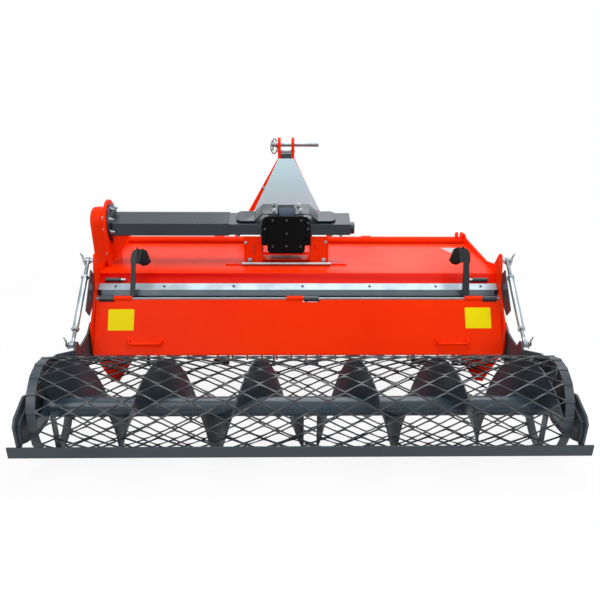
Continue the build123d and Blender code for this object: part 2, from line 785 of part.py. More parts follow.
with BuildPart() as stop_arms:
    lean = math.radians(stop_arm_lean)
    foot = hinge_sleeve_radius + seat_gap
    stop_planes = []
    for sign in (-1, 1):
        origin = (sign * stop_arm_x, at(hinge_ahead) + foot * math.sin(lean), hinge_height + foot * math.cos(lean))
        stop_planes.append(Plane(origin=origin, x_dir=(-sign, 0, 0),
                                 z_dir=(0, sign * math.cos(lean), -sign * math.sin(lean))))
    with BuildSketch(*stop_planes):
        with BuildLine():
            Polyline(*stop_arm_outline, close=True)
        make_face()
    extrude(amount=stop_arm_thickness / 2, both=True)
finish(stop_arms, "stop_arms")

with BuildPart() as stop_pads:
    for sign, plane in zip((-1, 1), stop_planes):
        with BuildSketch(plane.offset(sign * (stop_arm_thickness / 2 + seat_gap))):
            with BuildLine():
                Polyline(*stop_pad_outline, close=True)
            make_face()
        extrude(amount=sign * stop_pad_depth)
finish(stop_pads, "stop_pads")

# Rotor: tube with flanges and L-shaped blades
rotor_tube_radius = 57.0
rotor_end_gap = 12.0
rotor_disc_radius = 112.0
rotor_disc_thickness = 12.0
rotor_disc_count = 8
blades_per_disc = 4
blade_thickness = 10.0
blade_width = 56.0
blade_foot = 92.0
blade_root_radius = 70.0
rotor_turn_step = 22.5

with BuildPart() as rotor:
    rotor_half = plate_inner - rotor_end_gap
    axis_y = at(rotor_ahead)
    with BuildSketch(Plane.YZ.offset(-rotor_half)):
        with Locations((axis_y, rotor_height)):
            Circle(rotor_tube_radius)
    extrude(amount=2 * rotor_half)
    shaft_half = half_width + case_bore_depth - bore_end_gap
    with BuildSketch(Plane.YZ.offset(-shaft_half)):
        with Locations((axis_y, rotor_height)):
            Circle(rotor_shaft_radius)
    extrude(amount=2 * shaft_half)
    disc_pitch = 2 * (rotor_half - blade_foot - overrun) / (rotor_disc_count - 1)
    tip_reach = math.sqrt(rotor_radius**2 - (blade_width / 2) ** 2)
    blade_planes = []
    for index in range(rotor_disc_count):
        disc_x = -rotor_half + blade_foot + overrun + index * disc_pitch
        with BuildSketch(Plane.YZ.offset(disc_x - rotor_disc_thickness / 2)):
            with Locations((axis_y, rotor_height)):
                Circle(rotor_disc_radius)
        extrude(amount=rotor_disc_thickness)
        for blade in range(blades_per_disc):
            angle = math.radians(blade * 360 / blades_per_disc + index * rotor_turn_step)
            side_sign = 1 if blade % 2 else -1
            blade_planes.append(Plane(origin=(disc_x, axis_y, rotor_height), x_dir=(side_sign, 0, 0),
                                      z_dir=(0, -side_sign * math.sin(angle), side_sign * math.cos(angle))))
    with BuildSketch(*blade_planes):
        with BuildLine():
            side_start = rotor_disc_thickness / 2
            Polyline((side_start, blade_root_radius), (side_start, tip_reach),
                     (side_start + blade_foot - blade_thickness, tip_reach),
                     (side_start + blade_foot - blade_thickness, tip_reach - blade_thickness),
                     (side_start + blade_thickness, tip_reach - blade_thickness),
                     (side_start + blade_thickness, blade_root_radius), close=True)
        make_face()
    extrude(amount=blade_width / 2, both=True)
finish(rotor, "rotor")

# Roller arms with the bent part between the side plates and the roller's ends
arm_outline_shares = [
    (0.800, 0.350), (0.700, 0.400), (0.560, 0.390), (0.505, 0.358), (0.440, 0.345), (0.368, 0.338),
    (0.351, 0.369), (0.335, 0.376), (0.319, 0.369), (0.302, 0.346), (0.240, 0.352), (0.100, 0.366),
    (-0.020, 0.350), (-0.120, 0.290), (-0.235, 0.250), (-0.248, 0.215), (-0.248, 0.170), (-0.205, 0.155),
    (-0.100, 0.130), (0.0, 0.130), (0.100, 0.160), (0.300, 0.200), (0.450, 0.215), (0.600, 0.205),
    (0.760, 0.215), (0.812, 0.240), (0.830, 0.290),
]
arm_plan_shares = [(0.840, 0.0), (0.300, 0.0), (0.236, 1.0), (-0.256, 1.0)]
roller_half = roller_length / 2
arm_inner_x = half_width + arm_gap
arm_rear_x = roller_half + roller_end_gap
stub_radius = 20.0
hub_radius = 42.0
hub_thickness = 14.0
arm_pin_reach = 24.0
arm_plan_height = 500.0

for side, sign in sides:
    with BuildPart() as roller_arm:
        arm_plan = [(arm_inner_x + out * (arm_rear_x - arm_inner_x), at(ahead * side_view_size))
                    for ahead, out in arm_plan_shares]
        with BuildSketch(Plane.XY):
            with BuildLine():
                plan = bent_sheet(arm_plan, arm_thickness)
                Polyline(*[(sign * x, y) for x, y in plan], close=True)
            make_face()
        extrude(amount=arm_plan_height)
        with BuildSketch(Plane.YZ):
            with BuildLine():
                Polyline(*profile(arm_outline_shares), close=True)
            make_face()
            with Locations((at(0), roller_radius)):
                Circle(stub_radius + fit_gap, mode=Mode.SUBTRACT)
        extrude(amount=sign * body_width, mode=Mode.INTERSECT)
        with BuildSketch(Plane.YZ.offset(sign * (arm_rear_x + arm_thickness))):
            with Locations((at(0), roller_radius)):
                Circle(hub_radius)
                Circle(stub_radius + fit_gap, mode=Mode.SUBTRACT)
        extrude(amount=sign * hub_thickness)
        with BuildSketch(Plane.YZ.offset(sign * (arm_inner_x + arm_thickness / 2))):
            with Locations((at(arm_pin_ahead), arm_pin_height)):
                Circle(pin_radius)
        extrude(amount=sign * (half_width + turnbuckle_offset + arm_pin_reach - arm_inner_x))
        with BuildSketch(Plane.YZ.offset(sign * (plate_inner - overrun / 2))):
            with Locations((at(arm_pivot_ahead), arm_pivot_height)):
                Circle(arm_pivot_radius)
        extrude(amount=sign * (arm_inner_x - plate_inner + arm_thickness + overrun))
    finish(roller_arm, f"roller_arm_{side}")

# Scraper bar on brackets that are bolted outside the arms' rear ends
bracket_shares = [
    (-0.100, 0.312), (-0.100, 0.262), (-0.170, 0.190), (-0.2578, 0.130), (-0.2578, 0.250),
    (-0.235, 0.275), (-0.130, 0.318),
]

with BuildPart() as scraper_bar:
    with BuildSketch(Plane.YZ.offset(-scraper_length / 2)):
        with Locations((at(-rear_reach), scraper_bottom)):
            Rectangle(scraper_thickness, scraper_height, align=(Align.MIN, Align.MIN))
    extrude(amount=scraper_length)
finish(scraper_bar, "scraper_bar")

for side, sign in sides:
    with BuildPart() as scraper_bracket:
        with BuildSketch(Plane.YZ.offset(sign * (arm_rear_x + arm_thickness))):
            with BuildLine():
                Polyline(*profile(bracket_shares), close=True)
            make_face()
        extrude(amount=sign * scraper_bracket_thickness)
    finish(scraper_bracket, f"scraper_bracket_{side}")

# Roller core: tube, stub axles, end spokes and the spiral flight of flat half rings
core_radius = 41.5
spoke_width = 40.0
spoke_thickness = 8.0
spoke_count = 4
rim_width = 36.0
mesh_thickness = 5.0
rim_thickness = 6.0
rim_outer_radius = roller_radius - mesh_thickness - 1.0
rim_inner_radius = rim_outer_radius - rim_thickness
flight_radius = 194.0
flight_thickness = 6.0
flight_pitch = 383.0
flight_start = -1029.0
flight_turns = 6
stub_reach = 26.0

with BuildPart() as roller_core:
    flight_end = roller_half - rim_width
    half_pitch = flight_pitch / 2
    for level, first in ((1, 0), (-1, 1)):
        with BuildSketch(Plane.XY.offset(roller_radius)):
            for turn in range(flight_turns):
                near_x = flight_start + (turn + first / 2) * flight_pitch
                near_y = at(-level * flight_radius)
                far_y = at(level * flight_radius)
                with BuildLine():
                    Polyline((near_x - flight_thickness / 2, near_y), (near_x + flight_thickness / 2, near_y),
                             (near_x + half_pitch + flight_thickness / 2, far_y),
                             (near_x + half_pitch - flight_thickness / 2, far_y), close=True)
                make_face()
        extrude(amount=level * flight_radius)
    with BuildSketch(Plane.YZ.offset(-flight_end)):
        with Locations((at(0), roller_radius)):
            Circle(flight_radius)
    extrude(amount=2 * flight_end, mode=Mode.INTERSECT)
    with BuildSketch(Plane.YZ.offset(-roller_half)):
        with Locations((at(0), roller_radius)):
            Circle(core_radius)
    extrude(amount=roller_length)
    stub_half = arm_rear_x + arm_thickness + hub_thickness + stub_reach / 2
    with BuildSketch(Plane.YZ.offset(-stub_half)):
        with Locations((at(0), roller_radius)):
            Circle(stub_radius)
    extrude(amount=2 * stub_half)
    spoke_reach = math.sqrt((rim_inner_radius - seat_gap) ** 2 - (spoke_width / 2) ** 2)
    for sign in (-1, 1):
        spoke_x = sign * (roller_half - rim_width / 2) - spoke_thickness / 2
        with BuildSketch(Plane.YZ.offset(spoke_x)):
            with Locations((at(0), roller_radius)):
                with PolarLocations(0, spoke_count // 2, angular_range=180):
                    Rectangle(2 * spoke_reach, spoke_width)
        extrude(amount=spoke_thickness)
finish(roller_core, "roller_core")

# Roller mesh: rows of zigzag strands on the flats round the roller, with rims at the ends
mesh_flats = 36
mesh_half_pitches = 31
strand_width = 8.0
knuckle_width = 12.0
knuckle_bite = 2.0

with BuildPart() as roller_mesh:
    flat_angle = 360 / mesh_flats
    flat_half_angle = math.radians(flat_angle / 2)
    apothem = roller_radius * math.cos(flat_half_angle)
    row_half = (apothem - mesh_thickness) * math.tan(flat_half_angle) - seat_gap / 2
    mesh_half = roller_half - rim_width
    half_step = 2 * mesh_half / mesh_half_pitches
    climb = 2 * row_half - strand_width
    strand_rise = strand_width / 2 / math.cos(math.atan2(climb, half_step))
    swing = row_half - strand_rise
    for phase in (0, 1):
        row_planes = []
        for index in range(phase, mesh_flats, 2):
            angle = math.radians((index + 0.5) * flat_angle)
            out = (0, math.cos(angle), math.sin(angle))
            centre = (0, at(0) + apothem * out[1], roller_radius + apothem * out[2])
            row_planes.append(Plane(origin=centre, x_dir=(1, 0, 0), z_dir=out))
        upper = []
        lower = []
        for index in range(mesh_half_pitches + 1):
            x = -mesh_half + index * half_step
            y = swing if (index + phase) % 2 else -swing
            upper.append((x, y + strand_rise))
            lower.append((x, y - strand_rise))
        with BuildSketch(*row_planes):
            with BuildLine():
                Polyline(*upper, *reversed(lower), close=True)
            make_face()
        extrude(amount=-mesh_thickness)
finish(roller_mesh, "roller_mesh")

with BuildPart() as roller_rims:
    for sign in (-1, 1):
        with BuildSketch(Plane.YZ.offset(sign * mesh_half)):
            with Locations((at(0), roller_radius)):
                Circle(rim_outer_radius)
                Circle(rim_inner_radius, mode=Mode.SUBTRACT)
        extrude(amount=sign * rim_width)
        knuckle_planes = []
        for index in range(0 if sign < 0 else 1, mesh_flats, 2):
            angle = math.radians(index * flat_angle)
            out = (0, math.cos(angle), math.sin(angle))
            root = rim_outer_radius - knuckle_bite
            centre = (sign * (mesh_half + rim_width / 2), at(0) + root * out[1], roller_radius + root * out[2])
            knuckle_planes.append(Plane(origin=centre, x_dir=(1, 0, 0), z_dir=out))
        with BuildSketch(*knuckle_planes):
            Rectangle(rim_width, knuckle_width)
        extrude(amount=knuckle_bite + mesh_thickness)
finish(roller_rims, "roller_rims")

# Turnbuckles: a sleeve hung on the ear, and a rod that runs in it down to the arm
turnbuckle_x = half_width + turnbuckle_offset
span_y = arm_pin_ahead - ear_pin_ahead
span_z = arm_pin_height - ear_pin_height
span = math.hypot(span_y, span_z)
down_y = span_y / span
down_z = span_z / span
sleeve_start = 96.0
sleeve_end = 392.0
sleeve_bore_depth = 240.0
collar_radius = 19.0
collar_length = 16.0
ear_pin_reach = 24.0
upper_rod_radius = 9.0
rod_travel_gap = 60.0

for side, sign in sides:
    top = (sign * turnbuckle_x, at(ear_pin_ahead), ear_pin_height)
    bottom = (sign * turnbuckle_x, at(arm_pin_ahead), arm_pin_height)


    def along(distance):
        """Plane square to the turnbuckle at a distance below the ear's pin."""
        origin = (top[0], top[1] + down_y * distance, top[2] + down_z * distance)
        return Plane(origin=origin, x_dir=(1, 0, 0), z_dir=(0, down_y, down_z))


    with BuildPart() as turnbuckle_sleeve:
        with BuildSketch(Plane.YZ.offset(sign * (turnbuckle_x - eye_width / 2))):
            with Locations((top[1], top[2])):
                Circle(eye_radius)
        extrude(amount=sign * eye_width)
        with BuildSketch(Plane.YZ.offset(sign * plate_inner)):
            with Locations((top[1], top[2])):
                Circle(pin_radius)
        extrude(amount=sign * (turnbuckle_x - plate_inner + ear_pin_reach))
        with BuildSketch(along(0)):
            Circle(upper_rod_radius)
        extrude(amount=sleeve_start)
        with BuildSketch(along(sleeve_start)):
            Circle(turnbuckle_radius)
        extrude(amount=sleeve_end - sleeve_start)
        for collar_at in (sleeve_start, sleeve_end - collar_length):
            with BuildSketch(along(collar_at)):
                RegularPolygon(collar_radius, 6)
            extrude(amount=collar_length)
        with BuildSketch(along(sleeve_end)):
            Circle(adjuster_rod_radius + fit_gap)
        extrude(amount=-sleeve_bore_depth, mode=Mode.SUBTRACT)
    finish(turnbuckle_sleeve, f"turnbuckle_sleeve_{side}")

    with BuildPart() as turnbuckle_rod:
        with BuildSketch(Plane.YZ.offset(sign * (turnbuckle_x - eye_width / 2))):
            with Locations((bottom[1], bottom[2])):
                Circle(eye_radius)
        extrude(amount=sign * eye_width)
        rod_start = sleeve_end - sleeve_bore_depth + rod_travel_gap
        with BuildSketch(along(rod_start)):
            Circle(adjuster_rod_radius)
        extrude(amount=span - rod_start)
        with BuildSketch(Plane.YZ.offset(sign * (turnbuckle_x - eye_width / 2))):
            with Locations((bottom[1], bottom[2])):
                Circle(pin_radius + eye_slack)
        extrude(amount=sign * eye_width, mode=Mode.SUBTRACT)
    finish(turnbuckle_rod, f"turnbuckle_rod_{side}")
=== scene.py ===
"""Stone burier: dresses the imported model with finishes, rounded sheets, mesh roller and fasteners."""

import json
import math

import bmesh
import bpy
from mathutils import Matrix, Vector


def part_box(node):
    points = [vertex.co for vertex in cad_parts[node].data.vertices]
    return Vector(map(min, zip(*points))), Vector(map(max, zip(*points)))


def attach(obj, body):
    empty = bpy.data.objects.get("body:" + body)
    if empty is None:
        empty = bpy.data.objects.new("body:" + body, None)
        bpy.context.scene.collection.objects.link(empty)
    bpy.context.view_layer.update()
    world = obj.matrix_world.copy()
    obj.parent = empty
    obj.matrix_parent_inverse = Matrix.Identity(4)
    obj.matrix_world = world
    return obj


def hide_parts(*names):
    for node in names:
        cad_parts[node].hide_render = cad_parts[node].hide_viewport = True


bl_info = {
    "name": "Stone burier",
    "version": (1, 0, 0),
    "blender": (4, 5, 0),
    "location": "3D View > Sidebar > Stone burier",
    "description": "Builds the visible pieces of a stone burier round its packed model",
    "category": "Object",
}

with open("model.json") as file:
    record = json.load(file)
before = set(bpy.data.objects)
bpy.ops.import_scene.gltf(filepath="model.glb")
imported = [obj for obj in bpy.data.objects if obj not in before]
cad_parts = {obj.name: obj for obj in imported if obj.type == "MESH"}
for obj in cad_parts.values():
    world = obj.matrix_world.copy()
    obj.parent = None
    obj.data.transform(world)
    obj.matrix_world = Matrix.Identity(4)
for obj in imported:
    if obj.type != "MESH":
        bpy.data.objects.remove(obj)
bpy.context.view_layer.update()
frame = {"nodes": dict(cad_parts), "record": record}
nodes = frame["nodes"]
behaviour = frame["record"]["behaviour"]
body_of_node = {n: body for body, members in behaviour["bodies"].items() for n in members}
slot_of_node = {row["node"]: row["material_slot"] for row in frame["record"]["subparts"]}

# The axes that the machine turns about, from its joints
joint_place = {row["name"]: Vector(row["pos_m"]) for row in behaviour["joints"] if "pos_m" in row}
roller_axis = joint_place["roller_spin"]
rotor_axis = joint_place["rotor_spin"]
arm_pivot = joint_place["roller_arms_tilt"]
door_hinge = joint_place["rear_door_swing"]
hitch_x = joint_place["input_spin"].x
# The pin on each arm that holds the turnbuckle's lower eye, and the rear face of the gearbox bracket's cheeks
arm_pin_ahead, arm_pin_z = 0.335, 0.360
bracket_rear = 0.900

RIGHT = Vector((1, 0, 0))
FORWARD = Vector((0, 1, 0))
UP = Vector((0, 0, 1))
sides = (("left", -1), ("right", 1))
diagonals = (45, 135, 225, 315)


def spot(x, ahead, z):
    """A point from its X, its distance ahead of the roller's axis and its height."""
    return Vector((x, roller_axis.y + ahead, z))


def ahead_of(point):
    """How far a point lies ahead of the roller's axis."""
    return point.y - roller_axis.y


def middle_of(node):
    """The middle of a node's box."""
    low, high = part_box(node)
    return (low + high) / 2


def turn(steps):
    """The angles of one whole turn in equal steps."""
    return [2 * math.pi * k / steps for k in range(steps)]


def circle(first, second, steps):
    """Directions in equal steps round a circle, from the first to the second and on."""
    return [first * math.cos(t) + second * math.sin(t) for t in turn(steps)]


def chamfered(start, end, radius, cut, tip):
    """A profile of one radius that narrows to its tips' radius over a cut at each end."""
    return [(start, tip), (start + cut, radius), (end - cut, radius), (end, tip)]


def at_x(x, point):
    """The point moved along the X axis."""
    return Vector((x, point.y, point.z))


def places_round(x, centre, reach, degrees):
    """Points round a centre, at one X and at angles counted from forward to upward."""
    return [at_x(x, centre) + (FORWARD * math.cos(t) + UP * math.sin(t)) * reach
            for t in map(math.radians, degrees)]


def rectangle(left, right, low, high):
    return (left, low), (right, low), (right, high), (left, high)


def rounded_rectangle(left, right, low, high, corner):
    """A rectangle's outline with its corners rounded in five points each."""
    outline = []
    for i, (x, y) in enumerate(rectangle(left + corner, right - corner, low + corner, high - corner)):
        for k in range(5):
            t = math.radians(180 + 90 * i + 22.5 * k)
            outline.append((x + corner * math.cos(t), y + corner * math.sin(t)))
    return outline


class Shade:
    """A shader socket that takes part in Python expressions."""

    def __init__(self, tree, socket=None):
        self.tree = tree
        self.socket = socket

    def node(self, kind, settings=(), values=(), out=0):
        """Add a node, set its settings, feed its inputs and give back one output."""
        made = self.tree.nodes.new(kind)
        for key, value in dict(settings).items():
            setattr(made, key, value)
        for key, value in dict(values).items():
            if isinstance(value, Shade):
                self.tree.links.new(value.socket, made.inputs[key])
            else:
                made.inputs[key].default_value = value
        return Shade(self.tree, made.outputs[out])

    def maths(self, operation, first, second=0.0):
        return self.node("ShaderNodeMath", {"operation": operation}, {0: first, 1: second})

    def __add__(self, other):
        return self.maths("ADD", self, other)

    __radd__ = __add__

    def __mul__(self, other):
        return self.maths("MULTIPLY", self, other)

    __rmul__ = __mul__

    def __sub__(self, other):
        return self.maths("SUBTRACT", self, other)

    def __rsub__(self, other):
        return self.maths("SUBTRACT", other, self)

    def at_most(self, top):
        return self.maths("MINIMUM", self, top)

    def between(self, low, high):
        """0 to 1 as the value goes from low to high."""
        return self.node("ShaderNodeMapRange", {}, {"Value": self, "From Min": low, "From Max": high})

    def mix(self, low, high):
        """Colour from low to high as the value goes from 0 to 1, by the numbers of the sockets."""
        ends = {6: four_part(low), 7: four_part(high)}
        return self.node("ShaderNodeMix", {"data_type": "RGBA"}, {0: self, **ends}, out=2)


def four_part(colour):
    """A colour or screen code as four numbers, or a socket as it is."""
    if isinstance(colour, str):
        colour = srgb(colour)
    return colour if isinstance(colour, Shade) else (*colour, 1)


def srgb(code):
    """Linear colour from a six-figure screen colour."""
    parts = [int(code[i : i + 2], 16) / 255 for i in (0, 2, 4)]
    return tuple(p / 12.92 if p <= 0.04045 else ((p + 0.055) / 1.055) ** 2.4 for p in parts)


finishes = {}
patches, patch_gloss = (0.35, 0.65), 0.08
dust_colour, dust_top, dust_patches, dust_gloss = "8A7F72", 0.5, (0.45, 0.75), 0.3
bump_depth = 0.0005


def finish(name, tint, shade, roughness, metallic=0.0, specular=0.5, grain=60.0, bump=0.05, bump_grain=700.0,
           dust=0.0, steep=None, level_range=(0.15, 0.6)):
    """A surface with its colour varied by noise, by dust low down or by a painted shade on sloping faces, and
    with a fine bump.

    Where steep is given, it is a painted shade: faces take that darker colour as they leave the level;
    level_range is the rise of the normal at which they are fully steep and fully level.
    """
    made = bpy.data.materials.new(name)
    made.use_nodes = True
    tree = made.node_tree
    surface = tree.nodes["Principled BSDF"]
    draw = Shade(tree)
    place = draw.node("ShaderNodeTexCoord", out="Object")
    cloud = draw.node("ShaderNodeTexNoise", {}, {"Vector": place, "Scale": grain / 10, "Detail": 4.0})
    fine = draw.node("ShaderNodeTexNoise", {}, {"Vector": place, "Scale": bump_grain, "Detail": 2.0})
    amount = cloud.between(*patches)
    base = amount.mix(tint, shade)
    rough = roughness + (amount - 0.5) * patch_gloss
    # Painted shade: faces darken toward the steep colour as their normal tilts away from upright
    if steep:
        normal = draw.node("ShaderNodeNewGeometry", out="Normal")
        level = draw.node("ShaderNodeSeparateXYZ", {}, {"Vector": normal}, out="Z").between(*level_range)
        base = level.mix(steep, base)
    if dust:
        height = draw.node("ShaderNodeSeparateXYZ", {}, {"Vector": place}, out="Z")
        low = (1 - height.between(0.0, dust_top)) * cloud.between(*dust_patches) * dust
        base = low.mix(base, dust_colour)
        rough = rough + low * dust_gloss
    relief = draw.node("ShaderNodeBump", {}, {"Strength": bump, "Distance": bump_depth, "Height": fine})
    tree.links.new(base.socket, surface.inputs["Base Color"])
    tree.links.new(rough.socket, surface.inputs["Roughness"])
    tree.links.new(relief.socket, surface.inputs["Normal"])
    surface.inputs["Metallic"].default_value = metallic
    surface.inputs["Specular IOR Level"].default_value = specular
    finishes[name] = made


def make_finishes(paints):
    """Make every finish of the machine."""
    red = {"tint": paints.red, "shade": paints.red_shade, "roughness": 0.34, "specular": 0.06,
           "grain": 25, "bump": 0.04}
    finish("red_powder_coat", **red)
    # The hood's steep faces get a painted shade, a darker red by slope
    finish("red_sheet_with_painted_shade", **red, steep=paints.red_steep, level_range=(0.68, 0.97))
    finish("anthracite_paint", paints.anthracite, "263037", 0.38, specular=0.55, grain=30, bump=0.06)
    finish("anthracite_smooth_paint", "1A2832", "16222B", 0.30, specular=0.6, grain=30, bump=0.04)
    finish("anthracite_gloss", "2E4452", "263C4A", 0.26, specular=0.7, grain=30, bump=0.04)
    finish("anthracite_mesh_paint", "36414A", "2C363E", 0.36, grain=120, bump=0.10, dust=0.08)
    finish("mesh_strand_paint", "20292F", "192126", 0.34, specular=0.6, grain=120, bump=0.10)
    finish("black_paint", "1E2326", "191D20", 0.34, specular=0.3, grain=40, bump=0.06)
    finish("black_casting", "0B0C0D", "070808", 0.5, specular=0.08, grain=50, bump=0.30, bump_grain=420.0)
    finish("black_rubber", "121314", "0D0E0F", 0.55, specular=0.2, grain=40, bump=0.25, bump_grain=500.0)
    finish("blue_grey_casting", "6C7C92", "5E6D82", 0.35, metallic=0.3, bump=0.05)
    # The rail's steep front face gets a painted shade, a dark grey by slope
    finish("galvanised_steel_with_painted_shade", "93A1AA", "84929B", 0.42, metallic=0.6, grain=120, bump=0.03, steep="3E4850")
    finish("pale_zinc_sheet", (0.60, 0.93, 1.0), (0.55, 0.86, 1.0), 0.45, metallic=0.25, grain=40, bump=0.03)
    finish("bright_zinc", "AFB9BF", "8A949A", 0.33, metallic=0.9, grain=90, bump=0.03)
    finish("dull_zinc", "4A4E50", "3C4042", 0.42, metallic=0.7, grain=90, bump=0.03)
    finish("rod_zinc", "87939A", "78848B", 0.4, metallic=0.35, grain=90, bump=0.03)
    finish("splined_steel", "A8A9A6", "85857F", 0.30, metallic=1.0, grain=80, bump=0.04)
    finish("rotor_steel", "4A4744", "33302D", 0.52, metallic=0.6, bump=0.25, bump_grain=260.0, dust=0.4)
    finish("yellow_sticker", paints.sticker, "EBD600", 0.45, specular=0.1, grain=30, bump=0.02)
    finish("grey_sticker", "A9AFB3", "A0A6AA", 0.38, specular=0.3, grain=30, bump=0.02)


# The usual finish of each slot where its name differs, and the nodes that have another one
finish_of_slot = {"red_paint": "red_powder_coat", "zinc_plate": "bright_zinc", "bare_steel": "rotor_steel"}
nodes_of_finish = {
    "red_sheet_with_painted_shade": "hood",
    "anthracite_smooth_paint": "transmission_tube tube_stub tube_flange gearbox_wing_left gearbox_wing_right",
    "anthracite_mesh_paint": "roller_mesh roller_rims",
    "black_paint": "stop_arms",
    "galvanised_steel_with_painted_shade": "rail",
    "pale_zinc_sheet": "headstock_plate",
    "rod_zinc": "hinge_rod",
    "splined_steel": "input_shaft",
}
finish_of_node = {node: name for name, row in nodes_of_finish.items() for node in row.split()}


def finish_of(slot, node=None):
    """The name of a node's own finish, or else of its slot's usual one."""
    return finish_of_node.get(node) or finish_of_slot.get(slot, slot)


def dress(obj, name):
    """Give an object one finish on all its faces."""
    obj.data.materials.clear()
    obj.data.materials.append(finishes[name])


class Solids:
    """Closed solids of one piece, collected in one mesh."""

    def __init__(self):
        self.bm = bmesh.new()

    def rings(self, loops, closed_path=False):
        """Skin a row of equal loops of points, with flat ends unless the row closes on itself."""
        made = [[self.bm.verts.new(p) for p in loop] for loop in loops]
        pairs = list(zip(made, made[1:]))
        if closed_path:
            pairs.append((made[-1], made[0]))
        for low, high in pairs:
            for i in range(len(low)):
                j = (i + 1) % len(low)
                self.bm.faces.new((low[i], low[j], high[j], high[i]))
        if not closed_path:
            self.bm.faces.new(made[0][::-1])
            self.bm.faces.new(made[-1])

    def prism(self, outline, origin, across, up, start, end):
        """Extrude an outline, given in across and up, along their normal from start to end."""
        across, up = Vector(across).normalized(), Vector(up).normalized()
        normal = across.cross(up)
        flat = [origin + across * a + up * b for a, b in outline]
        self.rings([[p + normal * start for p in flat], [p + normal * end for p in flat]])

    def turned(self, profile, origin, axis, steps=32):
        """Turn a profile of (distance along, radius) rows round an axis."""
        axis = axis.normalized()
        side = axis.orthogonal().normalized()
        rays = circle(side, axis.cross(side), steps)
        self.rings([[origin + axis * along + ray * radius for ray in rays] for along, radius in profile])

    def pipe(self, points, radius, steps=12, closed=False):
        """A round bar along a row of points."""
        count = len(points)
        loops = []
        side = None
        for i, p in enumerate(points):
            before = points[i - 1] if (i or closed) else p
            after = points[(i + 1) % count] if (i + 1 < count or closed) else p
            run = (after - before).normalized()
            side = (run.orthogonal() if side is None else side - run * side.dot(run)).normalized()
            loops.append([p + ray * radius for ray in circle(side, run.cross(side), steps)])
        self.rings(loops, closed_path=closed)

    def wire_ring(self, centre, across, height, wire):
        """A ring of wire that reaches across to one side of its centre and height above it."""
        self.pipe([centre + ray for ray in circle(across, UP * height, 28)], wire, 8, closed=True)

    def bolt(self, place, axis, width, thread=0.0):
        """A hexagon head on a washer; with thread, a nut with the bolt's end standing out of it."""
        axis = axis.normalized()
        head = width * 0.42
        low = width * 0.10
        self.turned([(0.0, width * 0.62), (low * 0.8, width * 0.62), (low, width * 0.58)], place, axis, 24)
        corner = width / 0.866
        self.turned([(low, corner * 0.50), (low + head * 0.85, corner * 0.50), (low + head, corner * 0.44)],
                    place, axis, 6)
        if thread:
            top = low + head + thread
            self.turned([(low + head * 0.9, width * 0.29), (top - thread * 0.15, width * 0.29),
                         (top, width * 0.23)], place, axis, 16)

    def bolts(self, places, *form):
        """A bolt of one form at each place."""
        for place in places:
            self.bolt(place, *form)

    def mesh(self, name):
        """The mesh of all the solids; nothing can be added after it."""
        bmesh.ops.recalc_face_normals(self.bm, faces=self.bm.faces)
        data = bpy.data.meshes.new(name)
        self.bm.to_mesh(data)
        self.bm.free()
        return data


def piece(name, solids, slot="zinc_plate", finish_name=None, bevel=0.0, body="frame", node=None, steps=2,
          sharp=35):
    """Make a piece of solids with its edges rounded.

    It is a zinc one on the frame unless told otherwise; one that stands for a node is like that node.
    """
    if node:
        body, slot = body_of_node[node], slot_of_node[node]
    data = solids.mesh(name) if isinstance(solids, Solids) else solids
    obj = bpy.data.objects.new(name, data)
    bpy.context.scene.collection.objects.link(obj)
    data.polygons.foreach_set("use_smooth", [True] * len(data.polygons))
    data.set_sharp_from_angle(angle=math.radians(sharp))
    if bevel:
        soften = obj.modifiers.new("rounded edges", "BEVEL")
        soften.width = bevel
        soften.segments = steps
        soften.limit_method = "ANGLE"
        soften.angle_limit = math.radians(sharp)
        soften.harden_normals = True
    dress(obj, finish_name or finish_of(slot, node))
    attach(obj, body)
    if node:
        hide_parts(node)


def rounded(node, ending, bevel, steps=2, stem=None):
    """A copy of a node's solid with flat faces joined up and its edges rounded, in place of the node."""
    name = f"{stem or node}_{ending}"
    bm = bmesh.new()
    bm.from_mesh(nodes[node].data)
    bmesh.ops.remove_doubles(bm, verts=bm.verts, dist=0.00002)
    bmesh.ops.dissolve_limit(bm, angle_limit=math.radians(0.6), verts=bm.verts, edges=bm.edges)
    data = bpy.data.meshes.new(name)
    bm.to_mesh(data)
    bm.free()
    piece(name, data, bevel=bevel, node=node, steps=steps)


def number(name, description, default, **kind):
    """A number in the sidebar."""
    return bpy.props.FloatProperty(name=name, description=description, default=default, **kind)


def metres(name, description, default):
    return number(name, description, default, unit="LENGTH")


def angle(name, description, degrees):
    return number(name, description, math.radians(degrees), unit="ROTATION")


def tone(name, description, default):
    return bpy.props.FloatVectorProperty(name=name, description=description, default=default, subtype="COLOR")


class PaintSettings(bpy.types.PropertyGroup):
    """Colours of the paints and stickers, and the darker red of the painted shade on the hood's steep faces.
    """

    red: tone("Red", "Red paint", (0.95, 0.034, 0.0005))
    red_shade: tone("Red shade", "Red paint where it is a little darker", (0.90, 0.026, 0.0005))
    # A painted shade on the hood's steep faces, not a red of its own
    red_steep: tone("Red, steep", "Red paint on the steep faces of the hood", (0.56, 0.001, 0.0001))
    anthracite: tone("Anthracite", "Paint of the arms and the scraper bar", srgb("2C363E"))
    sticker: tone("Sticker", "Yellow of the blank stickers", srgb("F2DE00"))


